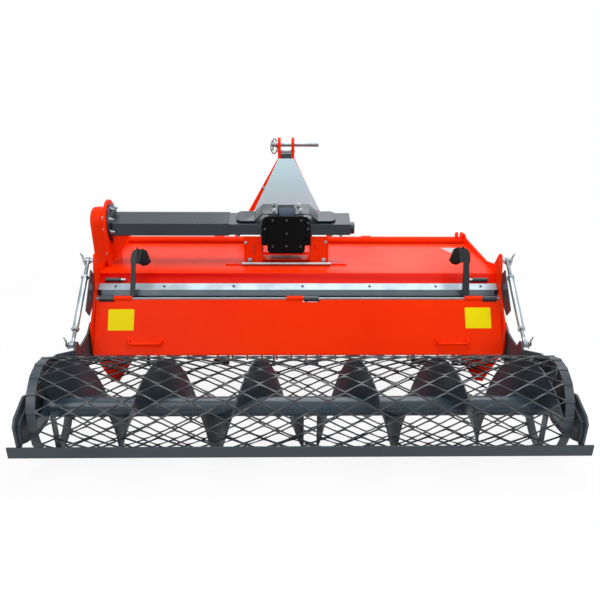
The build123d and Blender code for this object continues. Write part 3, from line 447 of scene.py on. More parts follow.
class StageSettings(bpy.types.PropertyGroup):
    """The floor, the lamps and the camera."""

    camera_height: metres("Camera height", "Height of the camera above the floor", 1.3022)
    camera_distance: metres("Camera distance", "Camera's distance behind the roller", 2.2824)
    camera_side: metres("Camera side", "Camera's X", -0.052)
    camera_yaw: angle("Camera yaw", "How far the camera is turned right", 1.16)
    camera_pitch: angle("Camera pitch", "How far the camera looks down", 25.0)
    camera_roll: angle("Camera roll", "How far the camera leans", 0.31)
    lens: number("Lens", "Focal length for a 36 mm sensor", 36.54, unit="CAMERA")
    lens_shift: number("Lens shift", "Shift of the picture up, as a share of width", 1 / 6, subtype="FACTOR")
    ambient: number("Ambient", "Strength of the light from all round", 0.38, subtype="FACTOR")
    key_power: number("Key lamp", "Power of the lamp over the camera's left", 70.0, unit="POWER")
    top_power: number("Top lamp", "Power of the lamp above the machine", 125.0, unit="POWER")
    fill_power: number("Fill lamp", "Power of the lamp on the right", 40.0, unit="POWER")
    rim_power: number("Rim lamp", "Power of the lamp beyond the machine", 25.0, unit="POWER")


class SheetSettings(bpy.types.PropertyGroup):
    """Rounding of sheets, castings and tubes."""

    sheet_edge: metres("Sheet edge", "Rounding of cut sheet edges", 0.0012)
    plate_edge: metres("Plate edge", "Rounding of thick plates' edges", 0.0018)
    casting_edge: metres("Casting edge", "Rounding of castings' edges", 0.004)
    tube_edge: metres("Tube edge", "Corner radius of the square tubes", 0.006)


class RollerSettings(bpy.types.PropertyGroup):
    """The mesh roller and the spiral flight inside it."""

    radius: metres("Radius", "Outer radius of the mesh", 0.210)
    half_length: metres("Half length", "Half the roller's length", 1.050)
    rim_width: metres("Rim width", "Width of the band at each end", 0.036)
    rows: bpy.props.IntProperty(
        name="Rows", description="Zigzag strands round the roller", default=36, subtype="UNSIGNED")
    half_pitches: bpy.props.IntProperty(
        name="Half diamonds", description="Half diamonds along the roller", default=31, subtype="UNSIGNED")
    strand_width: metres("Strand width", "Width of a strand", 0.0066)
    strand_thickness: metres("Strand thickness", "Thickness of a strand", 0.0042)
    strand_twist: angle("Strand twist", "How far a strand turns between its knots", 36)
    core_radius: metres("Core radius", "Radius of the middle tube", 0.0415)
    flight_radius: metres("Flight radius", "Outer radius of the spiral flight", 0.1995)
    left_pitch: metres("Left pitch", "Length of one turn of the left flight", 0.3915)
    right_pitch: metres("Right pitch", "Length of one turn of the right flight", 0.345)
    left_start: metres("Left start", "X where the left flight starts, lowest", 0.008)
    right_start: metres("Right start", "X where the right flight starts, lowest", 0.068)


class FastenerSettings(bpy.types.PropertyGroup):
    """Widths of bolts, nuts and pins."""

    small: metres("Small", "Width across flats of small bolts", 0.013)
    medium: metres("Medium", "Width across flats of middling bolts", 0.019)
    large: metres("Large", "Width across flats of large bolts", 0.024)
    pivot: metres("Pivot", "Width across flats of the arms' pivot bolts", 0.030)
    wire: metres("Ring wire", "Radius of the linch pins' ring wire", 0.0018)
    rounding: metres("Rounding", "Rounding of the bolts' edges", 0.0003)


def make_world(context, s):
    """White all round where it is seen or mirrored, and a plain even light elsewhere."""
    world = bpy.data.worlds.new("studio")
    context.scene.world = world
    world.use_nodes = True
    tree = world.node_tree
    draw = Shade(tree)
    seen, mirrored, through = (draw.node("ShaderNodeLightPath", out=f"Is {kind} Ray")
                               for kind in ("Camera", "Glossy", "Transmission"))
    direct = (seen + mirrored + through).at_most(1.0)
    strength = direct * (1.0 - s.ambient) + s.ambient
    back = tree.nodes["Background"]
    back.inputs["Color"].default_value = (1, 1, 1, 1)
    tree.links.new(strength.socket, back.inputs["Strength"])


def make_floor(context):
    """A floor that glows white to the camera and lets a share of the shadow show near the machine."""
    near, far, near_glow = 1.6, 5.0, 0.90
    bpy.ops.mesh.primitive_plane_add(size=80, location=(0, 0, 0))
    floor = context.object
    floor.name = "floor"
    made = bpy.data.materials.new("white_floor")
    made.use_nodes = True
    tree = made.node_tree
    draw = Shade(tree)
    surface = tree.nodes["Principled BSDF"]
    surface.inputs["Base Color"].default_value = (0.93, 0.93, 0.93, 1)
    surface.inputs["Roughness"].default_value = 0.9
    surface.inputs["Specular IOR Level"].default_value = 0.0
    glow = draw.node("ShaderNodeEmission", {}, {"Color": (1, 1, 1, 1), "Strength": 1.0})
    seen = draw.node("ShaderNodeLightPath", out="Is Camera Ray")
    place = draw.node("ShaderNodeTexCoord", out="Object")
    reach = draw.node("ShaderNodeVectorMath", {"operation": "LENGTH"}, {0: place}, out="Value")
    share = seen * (near_glow + reach.between(near, far) * (1.0 - near_glow))
    both = draw.node("ShaderNodeMixShader", {}, {0: share, 1: Shade(tree, surface.outputs[0]), 2: glow})
    tree.links.new(both.socket, tree.nodes["Material Output"].inputs["Surface"])
    floor.data.materials.append(made)


def make_lamps(context, s):
    """Four square lamps that face the middle of the machine."""
    aim = Vector((0, 0, 0.4))
    white, sky = (1.0, 1.0, 1.0), (0.80, 0.91, 1.0)
    for name, place, size, power, colour in (
            ("key_lamp", (-2.6, -3.4, 3.6), 3.0, s.key_power, white),
            ("top_lamp", (0.4, 0.6, 3.8), 3.4, s.top_power, white),
            ("fill_lamp", (3.6, -2.2, 2.0), 2.6, s.fill_power, white),
            ("rim_lamp", (0.7, 4.6, 3.1), 2.6, s.rim_power, sky)):
        data = bpy.data.lights.new(name, "AREA")
        data.size = size
        data.energy = power
        data.color = colour
        lamp = bpy.data.objects.new(name, data)
        context.scene.collection.objects.link(lamp)
        lamp.location = place
        lamp.rotation_euler = (aim - Vector(place)).to_track_quat("-Z", "Y").to_euler()


def make_camera(context, s):
    """The photo's camera, behind the machine and above it."""
    lens = bpy.data.cameras.new("camera")
    lens.sensor_width = 36.0
    lens.lens = s.lens
    lens.shift_y = s.lens_shift
    camera = bpy.data.objects.new("camera", lens)
    context.scene.collection.objects.link(camera)
    camera.location = spot(s.camera_side, -s.camera_distance, s.camera_height)
    look = Matrix.Rotation(-s.camera_yaw, 3, "Z") @ Matrix.Rotation(math.pi / 2 - s.camera_pitch, 3, "X")
    look = look @ Matrix.Rotation(s.camera_roll, 3, "Z")
    camera.rotation_euler = look.to_euler()
    context.scene.camera = camera


class MakeStage(bpy.types.Operator):
    """Make the floor, the light and the camera."""

    bl_idname = "burier.stage"
    bl_label = "Stage"

    def execute(self, context):
        s = context.scene.burier_stage
        context.scene.view_settings.view_transform = "Standard"
        make_world(context, s)
        make_floor(context)
        make_lamps(context, s)
        make_camera(context, s)
        return {"FINISHED"}


class MakeBodywork(bpy.types.Operator):
    """Round the edges of the side plates, the hood, the beam, the bracket and the gusset."""

    bl_idname = "burier.bodywork"
    bl_label = "Bodywork"

    def execute(self, context):
        s = context.scene.burier_sheets
        for side, _ in sides:
            rounded(f"side_plate_{side}", "sheet", s.plate_edge)
        rounded("hood", "sheet", s.plate_edge)
        rounded("front_beam", "tube", s.casting_edge / 2)
        rounded("gearbox_bracket", "plates", s.sheet_edge)
        rounded("gearcase_gusset", "plate", s.sheet_edge)
        return {"FINISHED"}


def add_linch_pin(f):
    """The linch pin with its collar and ring at the top pin's left end, and the pin under the top pin."""
    rings = Solids()
    pin_end = at_x(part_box("top_link_pin")[0].x, middle_of("top_link_pin"))
    ring_centre = pin_end + RIGHT * 0.016 - UP * 0.009
    ring_lean, ring_width, ring_height, ring_wire = 0.018, 0.026, 0.039, 0.0036
    across = Vector((ring_lean, ring_width, 0))
    rings.pipe([ring_centre + ray for ray in circle(UP * ring_height, across, 36)], ring_wire, 10,
               closed=True)
    half_bar, bar_radius = UP * 0.033, 0.0050
    rings.pipe([pin_end + RIGHT * 0.010 + half_bar * way for way in (-1, 1)], bar_radius, 12)
    rings.turned(chamfered(0.0, 0.012, 0.0165, 0.003, 0.015), pin_end + RIGHT * 0.020, RIGHT, 28)

    leg_rear = ahead_of(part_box("headstock")[0])
    rings.bolt(spot(-0.194, leg_rear, 0.923), -FORWARD, f.small, thread=0.004)
    low_pin = spot(hitch_x, 1.470, 1.119)
    half, radius = 0.046, 0.008
    rings.turned(chamfered(-half, half, radius, 0.002, radius - 0.001), low_pin, RIGHT, 20)
    for sign in (-1, 1):
        rings.bolt(low_pin + RIGHT * sign * (half - 0.008), RIGHT * sign, f.medium, thread=0.004)
    piece("top_link_linch_pin", rings, bevel=0.0004)


class MakeHeadstock(bpy.types.Operator):
    """Round the headstock's plates and add its pins and rings."""

    bl_idname = "burier.headstock"
    bl_label = "Headstock"

    def execute(self, context):
        s = context.scene.burier_sheets
        f = context.scene.burier_fasteners
        rounded("headstock", "legs", s.plate_edge)
        rounded("headstock_plate", "zinc_plate", s.sheet_edge, stem="headstock")
        rounded("top_link_ears", "plates", s.plate_edge, stem="top_link_ear")
        for side, _ in sides:
            rounded(f"lower_link_lug_{side}", "plate", s.plate_edge)
            rounded(f"lower_link_pin_{side}", "bar", s.plate_edge)
        rounded("top_link_pin", "bar", s.plate_edge)
        add_linch_pin(f)
        return {"FINISHED"}


def add_gearcase(s):
    """A tall plate against the side plate with a narrower body on it, round at the tube and the rotor."""
    outer, inner = (corner.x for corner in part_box("gearcase"))
    plate, overlap, inset = 0.012, 0.0002, 0.034
    upper_radius, lower_radius = 0.118, 0.132
    upper, lower = middle_of("transmission_tube"), rotor_axis
    lean = math.degrees(math.atan2(lower.y - upper.y, upper.z - lower.z))
    ends = (upper, upper_radius, lean), (lower, lower_radius, 180 + lean)
    case = Solids()
    for start, end, less in ((inner, inner - plate, 0.0), (inner - plate + overlap, outer, inset)):
        case.rings([[place for centre, radius, first in ends for place in
                     places_round(x, centre, radius - less, [first + 7.5 * k for k in range(25)])]
                    for x in (start, end)])
    piece("gearcase_casting", case, bevel=s.casting_edge / 2, node="gearcase", steps=3)


def add_gearbox_details(s):
    """The gearbox's rear flange and top block, the web of its bracket, and dark strips on its cheeks as a
    painted shade in each slot.
    """
    flange = Solids()
    half_flange = ((0.123, 0.700), (0.123, 0.725), (0.1205, 0.730), (0.1205, 0.826), (0.105, 0.842))
    outline = [(hitch_x - half, z) for half, z in half_flange]
    outline += [(hitch_x + half, z) for half, z in reversed(half_flange)]
    flange.prism(outline, spot(0, 0.888, 0), RIGHT, UP, -0.0024, 0.005)
    piece("gearbox_rear_flange", flange, "black_casting", bevel=s.sheet_edge)

    web = Solids()
    left, right = hitch_x - 0.123, hitch_x + 0.123
    low, high, foot, tip = 0.6233, 0.6482, 0.024, 0.006
    shapes = [rectangle(left, right, 0.648, 0.664), rectangle(left, right, 0.612, 0.6235)]
    for end, inward in ((left, 1), (right, -1)):
        shapes.append([(end, low), (end + inward * foot, low), (end + inward * tip, high), (end, high)])
    for shape in shapes:
        web.prism(shape, spot(0, 0.903, 0), RIGHT, UP, -0.002, 0.003)
    piece("gearbox_bracket_web", web, "red_paint")

    spacer = Solids()
    spacer.prism(rectangle(-0.100, -0.014, 0.838, 0.881), spot(0, 0.925, 0), RIGHT, UP, -0.001, 0.004)
    piece("gearbox_spacer_block", spacer, "black_casting", "blue_grey_casting", s.plate_edge)

    # Dark strips a hair proud of the cheeks: painted shade in each slot, not real openings
    slot_shade_strips = Solids()
    half_slot = 0.0013
    for x, low, high in ((-0.2263, 0.652, 0.701), (0.0877, 0.677, 0.702)):
        slot_shade_strips.prism(rectangle(x - half_slot, x + half_slot, low, high), spot(0, bracket_rear, 0), RIGHT, UP,
                    -0.0005, 0.0004)
    piece("bracket_slot_shade_strips", slot_shade_strips, "red_paint", "black_rubber")


def add_rail_caps():
    """The dark ends of the rail's rear face."""
    caps = Solids()
    rail_end, cap_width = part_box("rail")[1].x, 0.016
    rear_face, face_up = spot(0, 0.6721, 0.5085), (0, 0.28, 0.96)
    for sign in (-1, 1):
        near, out = sorted((sign * (rail_end - cap_width), sign * rail_end))
        caps.prism(rectangle(near, out, -0.010, 0.016), rear_face, RIGHT, face_up, -0.0005, 0.0015)
    piece("rail_end_caps", caps, "black_rubber")


class MakeDriveline(bpy.types.Operator):
    """Round the tube, gearcase and gearbox, and add the gearbox's flange and its bracket's details."""

    bl_idname = "burier.driveline"
    bl_label = "Driveline"

    def execute(self, context):
        s = context.scene.burier_sheets
        rounded("transmission_tube", "section", s.tube_edge, 3)
        rounded("tube_stub", "section", s.tube_edge, 3)
        rounded("tube_flange", "ring", s.plate_edge)
        add_gearcase(s)
        rounded("gearcase_cover", "casting", s.plate_edge)
        rounded("gearbox", "casting", s.plate_edge)
        rounded("gearbox_cover", "plate", s.plate_edge)
        for side, _ in sides:
            rounded(f"gearbox_wing_{side}", "plate", s.plate_edge)
        rounded("rotor_bearing", "casting", s.plate_edge)
        add_gearbox_details(s)
        add_rail_caps()
        return {"FINISHED"}


def add_stops(s, f):
    """Two arms that stand on the hinge and lean forward, each with a bracket and a rubber pad on top.

    The outlines are in millimetres: inward, along the arm and, where there are three, rearward.
    """
    arm = ((-12, 0), (12, 0), (12, 60), (9, 150), (9, 178), (17, 190), (19, 246), (10, 256), (-4, 250),
           (-13, 226), (-15, 186), (-11, 170), (-12, 60))
    half_plate = 5
    plate = [[(a, b, c) for a, b in arm] for c in (half_plate, -half_plate)]
    bracket = (((10, 182, 0), (34, 172, 22), (36, 174, -10), (10, 182, -10)),
               ((18, 254, 0), (44, 258, 22), (46, 258, -10), (18, 254, -10)))
    pad = (((35, 170, 20), (60, 176, -12), (60, 176, -36), (35, 170, -36)),
           ((38, 196, 20), (77, 196, -14), (77, 196, -36), (38, 196, -36)),
           ((45, 257, 20), (55, 256, -8), (55, 256, -36), (45, 257, -36)))
    lean = math.radians(21)
    up_arm = FORWARD * math.sin(lean) + UP * math.cos(lean)
    rearward = RIGHT.cross(up_arm)
    foot_height = 0.0125
    arms, rubbers = Solids(), Solids()
    for sign, x, wide, lean_in, tall in ((-1, -0.812, 1.0, 0.055, 0.875), (1, 0.8194, 1.4, 0.0, 0.915)):
        foot = at_x(x, door_hinge) + up_arm * foot_height
        inward = RIGHT * -sign
        up_here = (up_arm + inward * lean_in) * tall
        for solids, rows, grow in ((arms, plate, wide), (arms, bracket, 1.0), (rubbers, pad, 1.0)):
            solids.rings([[foot + (inward * a * grow + up_here * b + rearward * c) / 1000
                           for a, b, c in row] for row in rows])
        arms.bolt(foot + inward * 0.016 + up_here * 0.253, up_arm, f.small, thread=0.008)
    piece("stop_arm_plates", arms, bevel=s.plate_edge, node="stop_arms")
    piece("stop_pad_rubbers", rubbers, bevel=s.casting_edge, node="stop_pads", steps=3)


def add_grips():
    """Two bent bars that stand out of the door's lower panel."""
    panel_up = Vector((0, 0.5687, 0.8225))
    panel_out = RIGHT.cross(panel_up)
    ahead, z, radius = 0.5077, 0.3193, 0.0055
    bend_start, bend_slant = 0.019, 1.2
    down_and_out = ((0.0, -0.002), (0.0, 0.010), (0.006, 0.0155), (0.020, 0.0165), (0.0245, 0.0165))
    grips = Solids()
    for left, right in ((-0.8195, -0.6663), (0.6677, 0.8143)):
        one, other = [[spot(x, ahead, z) - panel_up * down + panel_out * out
                       + RIGHT * inward * max(0, down - bend_start) * bend_slant
                       for down, out in down_and_out] for x, inward in ((left, 1), (right, -1))]
        grips.pipe(one + other[::-1], radius, 14)
    piece("door_grip_bars", grips, node="door_handles")


def add_stickers():
    """The two blank stickers on the door's upper panel, measured up from its fold."""
    fold, lip = spot(0, 0.538, 0.363), spot(0, 0.622, 0.4888)
    stickers = Solids()
    for left, right, low, high in ((-0.924, -0.800, -0.003, 0.103), (0.811, 0.937, 0.006, 0.111)):
        outline = rounded_rectangle(left, right, low, high, 0.004)
        stickers.prism(outline, fold, RIGHT, lip - fold, -0.0003, 0.0004)
    piece("door_blank_stickers", stickers, "red_paint", "yellow_sticker", body="rear_door")


class MakeDoor(bpy.types.Operator):
    """Round the rear door, its hinge and its rail, and add stop arms, grips and blank stickers."""

    bl_idname = "burier.door"
    bl_label = "Rear door"

    def execute(self, context):
        s = context.scene.burier_sheets
        rounded("rear_door", "sheet", s.sheet_edge)
        rounded("hinge_lugs", "sleeves", s.sheet_edge, stem="hinge_lug")
        rounded("rail", "angle", s.sheet_edge)
        rounded("rubber_strip", "band", s.sheet_edge)
        add_stops(s, context.scene.burier_fasteners)
        add_grips()
        add_stickers()
        return {"FINISHED"}


def thread_rows(start, turns, crest, root, pitch=0.003):
    """A profile that goes from crest to root at each turn of a thread."""
    rows = []
    for k in range(turns):
        rows += [(start + pitch * k, crest), (start + pitch * (k + 0.5), root)]
    return rows


def add_sleeve(side, sign, top, down, f):
    """The upper eye on its pin, its thread, the sleeve with two hexagon ends, and the linch pin."""
    out = RIGHT * sign
    thread_radius, sleeve_radius, hexagon = 0.0088, 0.014, 0.0188
    body = Solids()
    body.turned(chamfered(-0.010, 0.010, 0.0165, 0.001, 0.0145), top, out, 32)
    body.turned([(-0.038, 0.010), (0.022, 0.010), (0.024, 0.0085)], top, out, 24)
    thread = thread_rows(0.020, 26, thread_radius, 0.0076)
    body.turned([(0.012, thread_radius), *thread, (0.100, thread_radius)], top, down, 16)
    body.turned([(0.096, 0.0115), (0.099, sleeve_radius), (0.405, sleeve_radius), (0.408, 0.0115),
                 (0.408, 0.0095)], top, down, 32)
    for start in (0.096, 0.392):
        body.turned(chamfered(start, start + 0.016, hexagon, 0.002, 0.0165), top, down, 6)
    body.pipe([top + out * (0.019 + h * 0.35) + UP * h for h in (-0.020, 0.036)], 0.0040, 10)
    body.wire_ring(top + out * 0.021 + UP * 0.002, Vector((sign * 0.011, 0.019, 0)), 0.023, f.wire)
    node = f"turnbuckle_sleeve_{side}"
    piece(f"{node}_forging", body, bevel=f.rounding, node=node)


def add_rod(side, out, top, bottom, f):
    """The lower thread and its eye on the arm's pin."""
    thread_radius, hole, rim, half_eye = 0.0088, 0.0117, 0.0168, 0.010
    length = (bottom - top).length
    thread = thread_rows(0.217, 78, thread_radius, 0.0077)
    rod = Solids()
    rod.turned([(0.215, 0.0085), *thread, (length - 0.012, thread_radius)], top,
               (bottom - top).normalized(), 16)
    first = out.orthogonal().normalized()
    chamfer = 0.001
    section = ((-half_eye, hole), (-half_eye, rim - chamfer), (chamfer - half_eye, rim),
               (half_eye - chamfer, rim), (half_eye, rim - chamfer), (half_eye, hole))
    rod.rings([[bottom + out * a + ray * r for a, r in section]
               for ray in circle(first, out.cross(first), 32)], closed_path=True)
    node = f"turnbuckle_rod_{side}"
    piece(f"{node}_forging", rod, bevel=f.rounding, node=node)


class MakeTurnbuckles(bpy.types.Operator):
    """Make both turnbuckles with their threads, collars, eyes and linch pins."""

    bl_idname = "burier.turnbuckles"
    bl_label = "Turnbuckles"

    def execute(self, context):
        f = context.scene.burier_fasteners
        for side, sign in sides:
            top = joint_place[f"turnbuckle_{side}_swing"]
            bottom = spot(top.x, arm_pin_ahead, arm_pin_z)
            add_sleeve(side, sign, top, (bottom - top).normalized(), f)
            add_rod(side, RIGHT * sign, top, bottom, f)
        return {"FINISHED"}


class MakeArms(bpy.types.Operator):
    """Round the roller arms and the scraper bar, and add their bolts and linch pins."""

    bl_idname = "burier.arms"
    bl_label = "Roller arms"

    def execute(self, context):
        s = context.scene.burier_sheets
        f = context.scene.burier_fasteners
        bracket_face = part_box("scraper_bracket_right")[1].x
        arm_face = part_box("roller_arm_right")[1].x
        pivot_face, pin_x = 1.016, 1.052
        for side, sign in sides:
            rounded(f"roller_arm_{side}", "plate", s.plate_edge)
            rounded(f"scraper_bracket_{side}", "plate", s.sheet_edge)
            out = RIGHT * sign
            bolts = Solids()
            for ahead, z in ((-0.120, 0.285), (-0.215, 0.225)):
                bolts.bolt(spot(sign * bracket_face, ahead, z), out, f.large, thread=0.006)
            bolts.bolts(places_round(sign * arm_face, roller_axis, 0.031, diagonals), out, f.small)
            pin = spot(sign * pin_x, arm_pin_ahead, arm_pin_z)
            bolts.pipe([pin + UP * h + out * h * 0.3 for h in (-0.018, 0.036)], 0.0036, 10)
            bolts.wire_ring(pin, Vector((sign * 0.010, 0.017, 0)), 0.021, f.wire)
            bolts.bolt(at_x(sign * pivot_face, arm_pivot), out, f.pivot, thread=0.010)
            piece(f"arm_bolts_{side}", bolts, bevel=f.rounding, body="roller_arms")
        rounded("scraper_bar", "flat", s.sheet_edge)
        return {"FINISHED"}


def add_strands(s, mesh_half):
    """Zigzag strands that touch at their knots and twist between them."""
    half_step = 2 * mesh_half / s.half_pitches
    row_angle = 2 * math.pi / s.rows
    middle = s.radius - 0.0047
    swing = row_angle / 2 - (s.strand_width * 0.36) / middle
    half_thick = s.strand_thickness / 2
    parts = 4
    strands = Solids()
    for row in range(s.rows):
        centre = (row + 0.5) * row_angle
        loops = []
        for step in range(s.half_pitches * parts + 1):
            whole, part = divmod(step, parts)
            share = part / parts
            near = -1 if (whole + row) % 2 else 1
            eased = share * share * (3 - 2 * share) * 0.35 + share * 0.65
            angle = centre - near * swing * (1 - 2 * eased)
            twist = s.strand_twist * math.sin(math.pi * share)
            ray = Vector((0, math.cos(angle), math.sin(angle)))
            along = RIGHT.cross(ray)
            place = roller_axis + RIGHT * (-mesh_half + (whole + share) * half_step) + ray * middle
            wide = along * math.cos(twist) + ray * math.sin(twist)
            thick = ray * math.cos(twist) - along * math.sin(twist)
            half_wide = s.strand_width / 2 * (1.0 + 0.12 * (1 - math.sin(math.pi * share)))
            loops.append([place + wide * half_wide * a + thick * half_thick * b
                          for a, b in rectangle(-1, 1, -1, 1)])
        strands.rings(loops)
    piece("roller_mesh_strands", strands, finish_name="mesh_strand_paint", node="roller_mesh", sharp=40)


def add_bands(s, mesh_half):
    """A band round each end, with the knuckles in which the strands end."""
    outer, inner = s.radius - 0.006, s.radius - 0.012
    knuckle = ((-0.010, 0.0045, 0.0030), (0.004, 0.0085, 0.0048), (0.018, 0.0105, 0.0052),
               (s.rim_width - 0.001, 0.0125, 0.0052))
    bands = Solids()
    for sign in (-1, 1):
        out = RIGHT * sign
        start = roller_axis + out * mesh_half
        section = (0.0, inner), (0.0, outer), (s.rim_width, outer), (s.rim_width, inner)
        bands.rings([[start + out * a + ray * r for a, r in section] for ray in circle(FORWARD, UP, 96)],
                    closed_path=True)
        for ray in circle(FORWARD, UP, s.rows)[0 if sign < 0 else 1 :: 2]:
            along = RIGHT.cross(ray)
            bands.rings([[start + out * a + ray * (outer - 0.001 + up) + along * wide * way
                          for way, up in ((-1, 0), (1, 0), (0.75, high), (-0.75, high))]
                         for a, wide, high in knuckle])
    piece("roller_end_bands", bands, bevel=0.0008, node="roller_rims")


def add_core(s):
    """The middle tube with its two stub shafts and a cross of flat spokes in each end."""
    stub_end, stub_radius = 1.099, 0.01995
    half_spoke, spoke_wide, spoke_thick = 0.1965, 0.020, 0.004
    core = Solids()
    core.turned(chamfered(-s.half_length, s.half_length, s.core_radius, 0.001, s.core_radius - 0.001),
                roller_axis, RIGHT, 64)
    core.turned(chamfered(-stub_end, stub_end, stub_radius, 0.002, 0.018), roller_axis, RIGHT, 40)
    for sign in (-1, 1):
        centre = roller_axis + RIGHT * sign * (s.half_length - s.rim_width / 2)
        for long in (FORWARD, UP):
            core.prism(rectangle(-half_spoke, half_spoke, -spoke_wide, spoke_wide), centre, long,
                       RIGHT.cross(long), -spoke_thick, spoke_thick)
    piece("roller_core_tube", core, finish_name="anthracite_gloss", bevel=0.0008, node="roller_core")


def add_flight(s, mesh_half):
    """Two flights of opposite hand that wind outward from the middle, lowest where they start."""
    turn_steps, half_thick, root = 48, 0.003, s.core_radius - 0.002
    flight = Solids()
    for sign, start, pitch in ((-1, s.left_start, s.left_pitch), (1, s.right_start, s.right_pitch)):
        loops = []
        count = int((mesh_half - sign * start) / pitch * turn_steps)
        for k in range(count + 1):
            t = 2 * math.pi * k / turn_steps
            ray = Vector((0, math.sin(t), -math.cos(t)))
            place = roller_axis + RIGHT * (start + sign * pitch * k / turn_steps)
            loops.append([place + RIGHT * a + ray * r for a, r in
                          rectangle(-half_thick, half_thick, root, s.flight_radius)])
        flight.rings(loops)
    piece("roller_spiral_flight", flight, node="roller_core", sharp=50)


class MakeRoller(bpy.types.Operator):
    """Make the expanded mesh, its end bands, the core tube and the spiral flight."""

    bl_idname = "burier.roller"
    bl_label = "Mesh roller"

    def execute(self, context):
        s = context.scene.burier_roller
        mesh_half = s.half_length - s.rim_width
        add_strands(s, mesh_half)
        add_bands(s, mesh_half)
        add_core(s)
        add_flight(s, mesh_half)
        return {"FINISHED"}


def add_rail_screws():
    """Round-headed screws in the rail's face, which slopes rearward."""
    rail_out = Vector((0, -0.555, 0.832))
    screws = Solids()
    for x in (-0.904, -0.665, -0.323, 0.018, 0.351, 0.681, 0.906):
        place = spot(x, 0.697, 0.5327) + rail_out * 0.004
        screws.turned([(0, 0.0065), (0.0022, 0.0062), (0.0036, 0.0045), (0.004, 0.002)], place, rail_out, 20)
        screws.turned([(0.003, 0.0028), (0.0052, 0.0028)], place, rail_out, 6)
    piece("rail_screws", screws, finish_name="dull_zinc")


def add_flange_bolts(f):
    """A circle of nuts on the transmission tube's flange."""
    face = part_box("tube_flange")[1].x
    eighths = [22.5 + 45 * k for k in range(8)]
    flange = Solids()
    flange.bolts(places_round(face, middle_of("transmission_tube"), 0.080, eighths), RIGHT, f.medium, 0.010)
    piece("flange_bolts", flange, bevel=f.rounding)


def add_gearcase_bolts(f):
    """Bolts round the gearcase plate's rim: an arc at each end and three pairs between them."""
    upper, lower = middle_of("transmission_tube"), rotor_axis
    upper_reach, lower_reach = 0.101, 0.115
    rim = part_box("gearcase")[1].x - 0.012
    case = Solids()
    for centre, reach, start, end, count in ((upper, upper_reach, -8, 188, 7),
                                             (lower, lower_reach, 172, 368, 8)):
        degrees = [start + (end - start) * k / (count - 1) for k in range(count)]
        case.bolts(places_round(rim, centre, reach, degrees), -RIGHT, f.small)
    for z in (0.40, 0.53, 0.66):
        share = (z - lower.z) / (upper.z - lower.z)
        middle = lower.lerp(upper, share)
        reach = lower_reach + (upper_reach - lower_reach) * share
        case.bolts([spot(rim, ahead_of(middle) + sign * reach, z) for sign in (-1, 1)], -RIGHT, f.small)
    piece("gearcase_bolts", case, bevel=f.rounding)


def add_cover_bolts(f):
    """Bolts on the gearbox's cover, and beside it on the flange behind."""
    rear = ahead_of(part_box("gearbox_cover")[0])
    on_cover = ((-0.1305, 0.825), (-0.060, 0.825), (0.0135, 0.825), (-0.060, 0.761), (-0.131, 0.695),
                (-0.062, 0.697), (0.0108, 0.696))
    on_flange = (-0.170, 0.782), (0.048, 0.812), (0.048, 0.783)
    cover = Solids()
    for rows, ahead in ((on_cover, rear), (on_flange, rear + 0.0046)):
        cover.bolts([spot(x, ahead, z) for x, z in rows], -FORWARD, f.small * 0.8)
    piece("gearbox_cover_bolts", cover, "black_casting", "dull_zinc", f.rounding)


def add_bracket_nuts(f):
    """Nuts on the wings, the bracket's cheeks, under the tube and on the gusset."""
    wing_up = Vector((0, -0.34, 0.94))
    tube_bottom = 0.7456
    gusset_rear = ahead_of(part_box("gearcase_gusset")[0])
    nuts = Solids()
    on_wings = (-0.126, 0.983, 0.886), (-0.123, 0.919, 0.863), (0.002, 0.972, 0.882), (0.011, 0.920, 0.863)
    nuts.bolts([spot(*row) for row in on_wings], wing_up, f.medium, 0.007)
    for ahead, width, thread, first, second in (
            (bracket_rear, f.medium, 0.004, (-0.2512, 0.6226), (0.1313, 0.623)),
            (bracket_rear, f.small, 0.005, (-0.2717, 0.7108), (0.1393, 0.7139)),
            (gusset_rear, f.small, 0.0, (-0.976, 0.642), (-0.985, 0.6224))):
        nuts.bolts([spot(x, ahead, z) for x, z in (first, second)], -FORWARD, width, thread)
    nuts.bolts([spot(x, 0.925, tube_bottom) for x in (-0.309, 0.169, 0.219)], -UP, f.small, 0.004)
    piece("bracket_nuts", nuts, bevel=f.rounding)


def add_catches():
    """A sleeve with a pin in its end above each end of the rail."""
    hood_out = Vector((0, -0.55, 0.83)).normalized()
    line = spot(0, 0.730, 0.5535) + hood_out * 0.0102
    sleeves, pins = Solids(), Solids()
    for start, end, tip in ((-0.960, -0.881, -0.858), (0.946, 0.8685, 0.8535)):
        way = RIGHT if end > start else -RIGHT
        sleeve, pin = abs(end - start), abs(tip - end)
        sleeves.turned(chamfered(0.0, sleeve, 0.010, 0.0015, 0.0085), line + RIGHT * start, way, 24)
        pins.turned([(0.0, 0.0075), (pin - 0.002, 0.0075), (pin, 0.0055)], line + RIGHT * end, way, 20)
    piece("hood_catch_sleeves", sleeves, "anthracite_paint")
    piece("hood_catch_pins", pins)


def add_hood_sticker():
    """The blank three-cornered sticker on the right of the hood, which rises slightly forward."""
    slope, known_ahead, known_z = 0.04, 1.1323, 0.6094
    hood_up = Vector((0, -slope, 1)).normalized()
    corners = [spot(x, ahead, known_z + (ahead - known_ahead) * slope) for x, ahead in
               ((0.826, 1.262), (0.942, 1.262), (0.884, 1.060))]
    label = Solids()
    label.rings([[p + hood_up * height for p in corners] for height in (-0.0002, 0.0014)])
    piece("hood_blank_sticker", label, "red_paint", "grey_sticker")


def add_bearing_bolts(f):
    """Four bolts and a cap on the rotor's right bearing."""
    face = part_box("rotor_bearing")[1].x
    bearing = Solids()
    bearing.bolts(places_round(face, rotor_axis, 0.044, diagonals), RIGHT, f.small)
    bearing.turned([(0.0, 0.020), (0.006, 0.020), (0.010, 0.012)], at_x(face, rotor_axis), RIGHT, 32)
    piece("bearing_bolts", bearing, bevel=f.rounding)


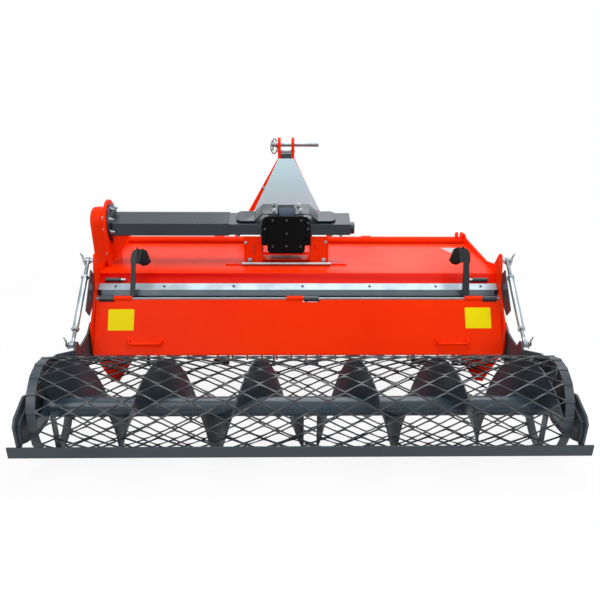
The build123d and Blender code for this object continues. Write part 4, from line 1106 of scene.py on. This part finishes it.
class MakeFasteners(bpy.types.Operator):
    """Add the bolts, nuts and screws of the main frame, the catches on the hood and its blank sticker."""

    bl_idname = "burier.fasteners"
    bl_label = "Fasteners"

    def execute(self, context):
        f = context.scene.burier_fasteners
        add_rail_screws()
        add_flange_bolts(f)
        add_gearcase_bolts(f)
        add_cover_bolts(f)
        add_bracket_nuts(f)
        add_catches()
        add_hood_sticker()
        add_bearing_bolts(f)
        return {"FINISHED"}


class FinishNodes(bpy.types.Operator):
    """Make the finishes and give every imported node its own."""

    bl_idname = "burier.nodes"
    bl_label = "Node finishes"

    def execute(self, context):
        make_finishes(context.scene.burier_paints)
        for name, obj in nodes.items():
            dress(obj, finish_of(slot_of_node[name], name))
        return {"FINISHED"}


class BurierPanel(bpy.types.Panel):
    """Lists the steps that build the machine and their sizes."""

    bl_idname = "VIEW3D_PT_burier"
    bl_label = "Stone burier"
    bl_space_type = "VIEW_3D"
    bl_region_type = "UI"
    bl_category = "Stone burier"

    def draw(self, context):
        for name in settings:
            group = getattr(context.scene, name)
            box = self.layout.box()
            for key in group.__annotations__:
                box.prop(group, key)
        for operator in steps:
            self.layout.operator(operator.bl_idname)


steps = (FinishNodes, MakeBodywork, MakeHeadstock, MakeDriveline, MakeDoor, MakeTurnbuckles, MakeArms,
         MakeRoller, MakeFasteners, MakeStage)
settings = {"burier_paints": PaintSettings, "burier_sheets": SheetSettings, "burier_roller": RollerSettings,
            "burier_fasteners": FastenerSettings, "burier_stage": StageSettings}


def register():
    for made in (*settings.values(), *steps, BurierPanel):
        bpy.utils.register_class(made)
    for name, group in settings.items():
        setattr(bpy.types.Scene, name, bpy.props.PointerProperty(type=group))


def unregister():
    for name in settings:
        delattr(bpy.types.Scene, name)
    for made in (BurierPanel, *reversed(steps), *settings.values()):
        bpy.utils.unregister_class(made)


def main():
    """Build everything in order."""
    register()
    for operator in steps:
        group, name = operator.bl_idname.split(".")
        getattr(getattr(bpy.ops, group), name)()
    bpy.context.view_layer.update()


if __name__ == "__main__":
    main()
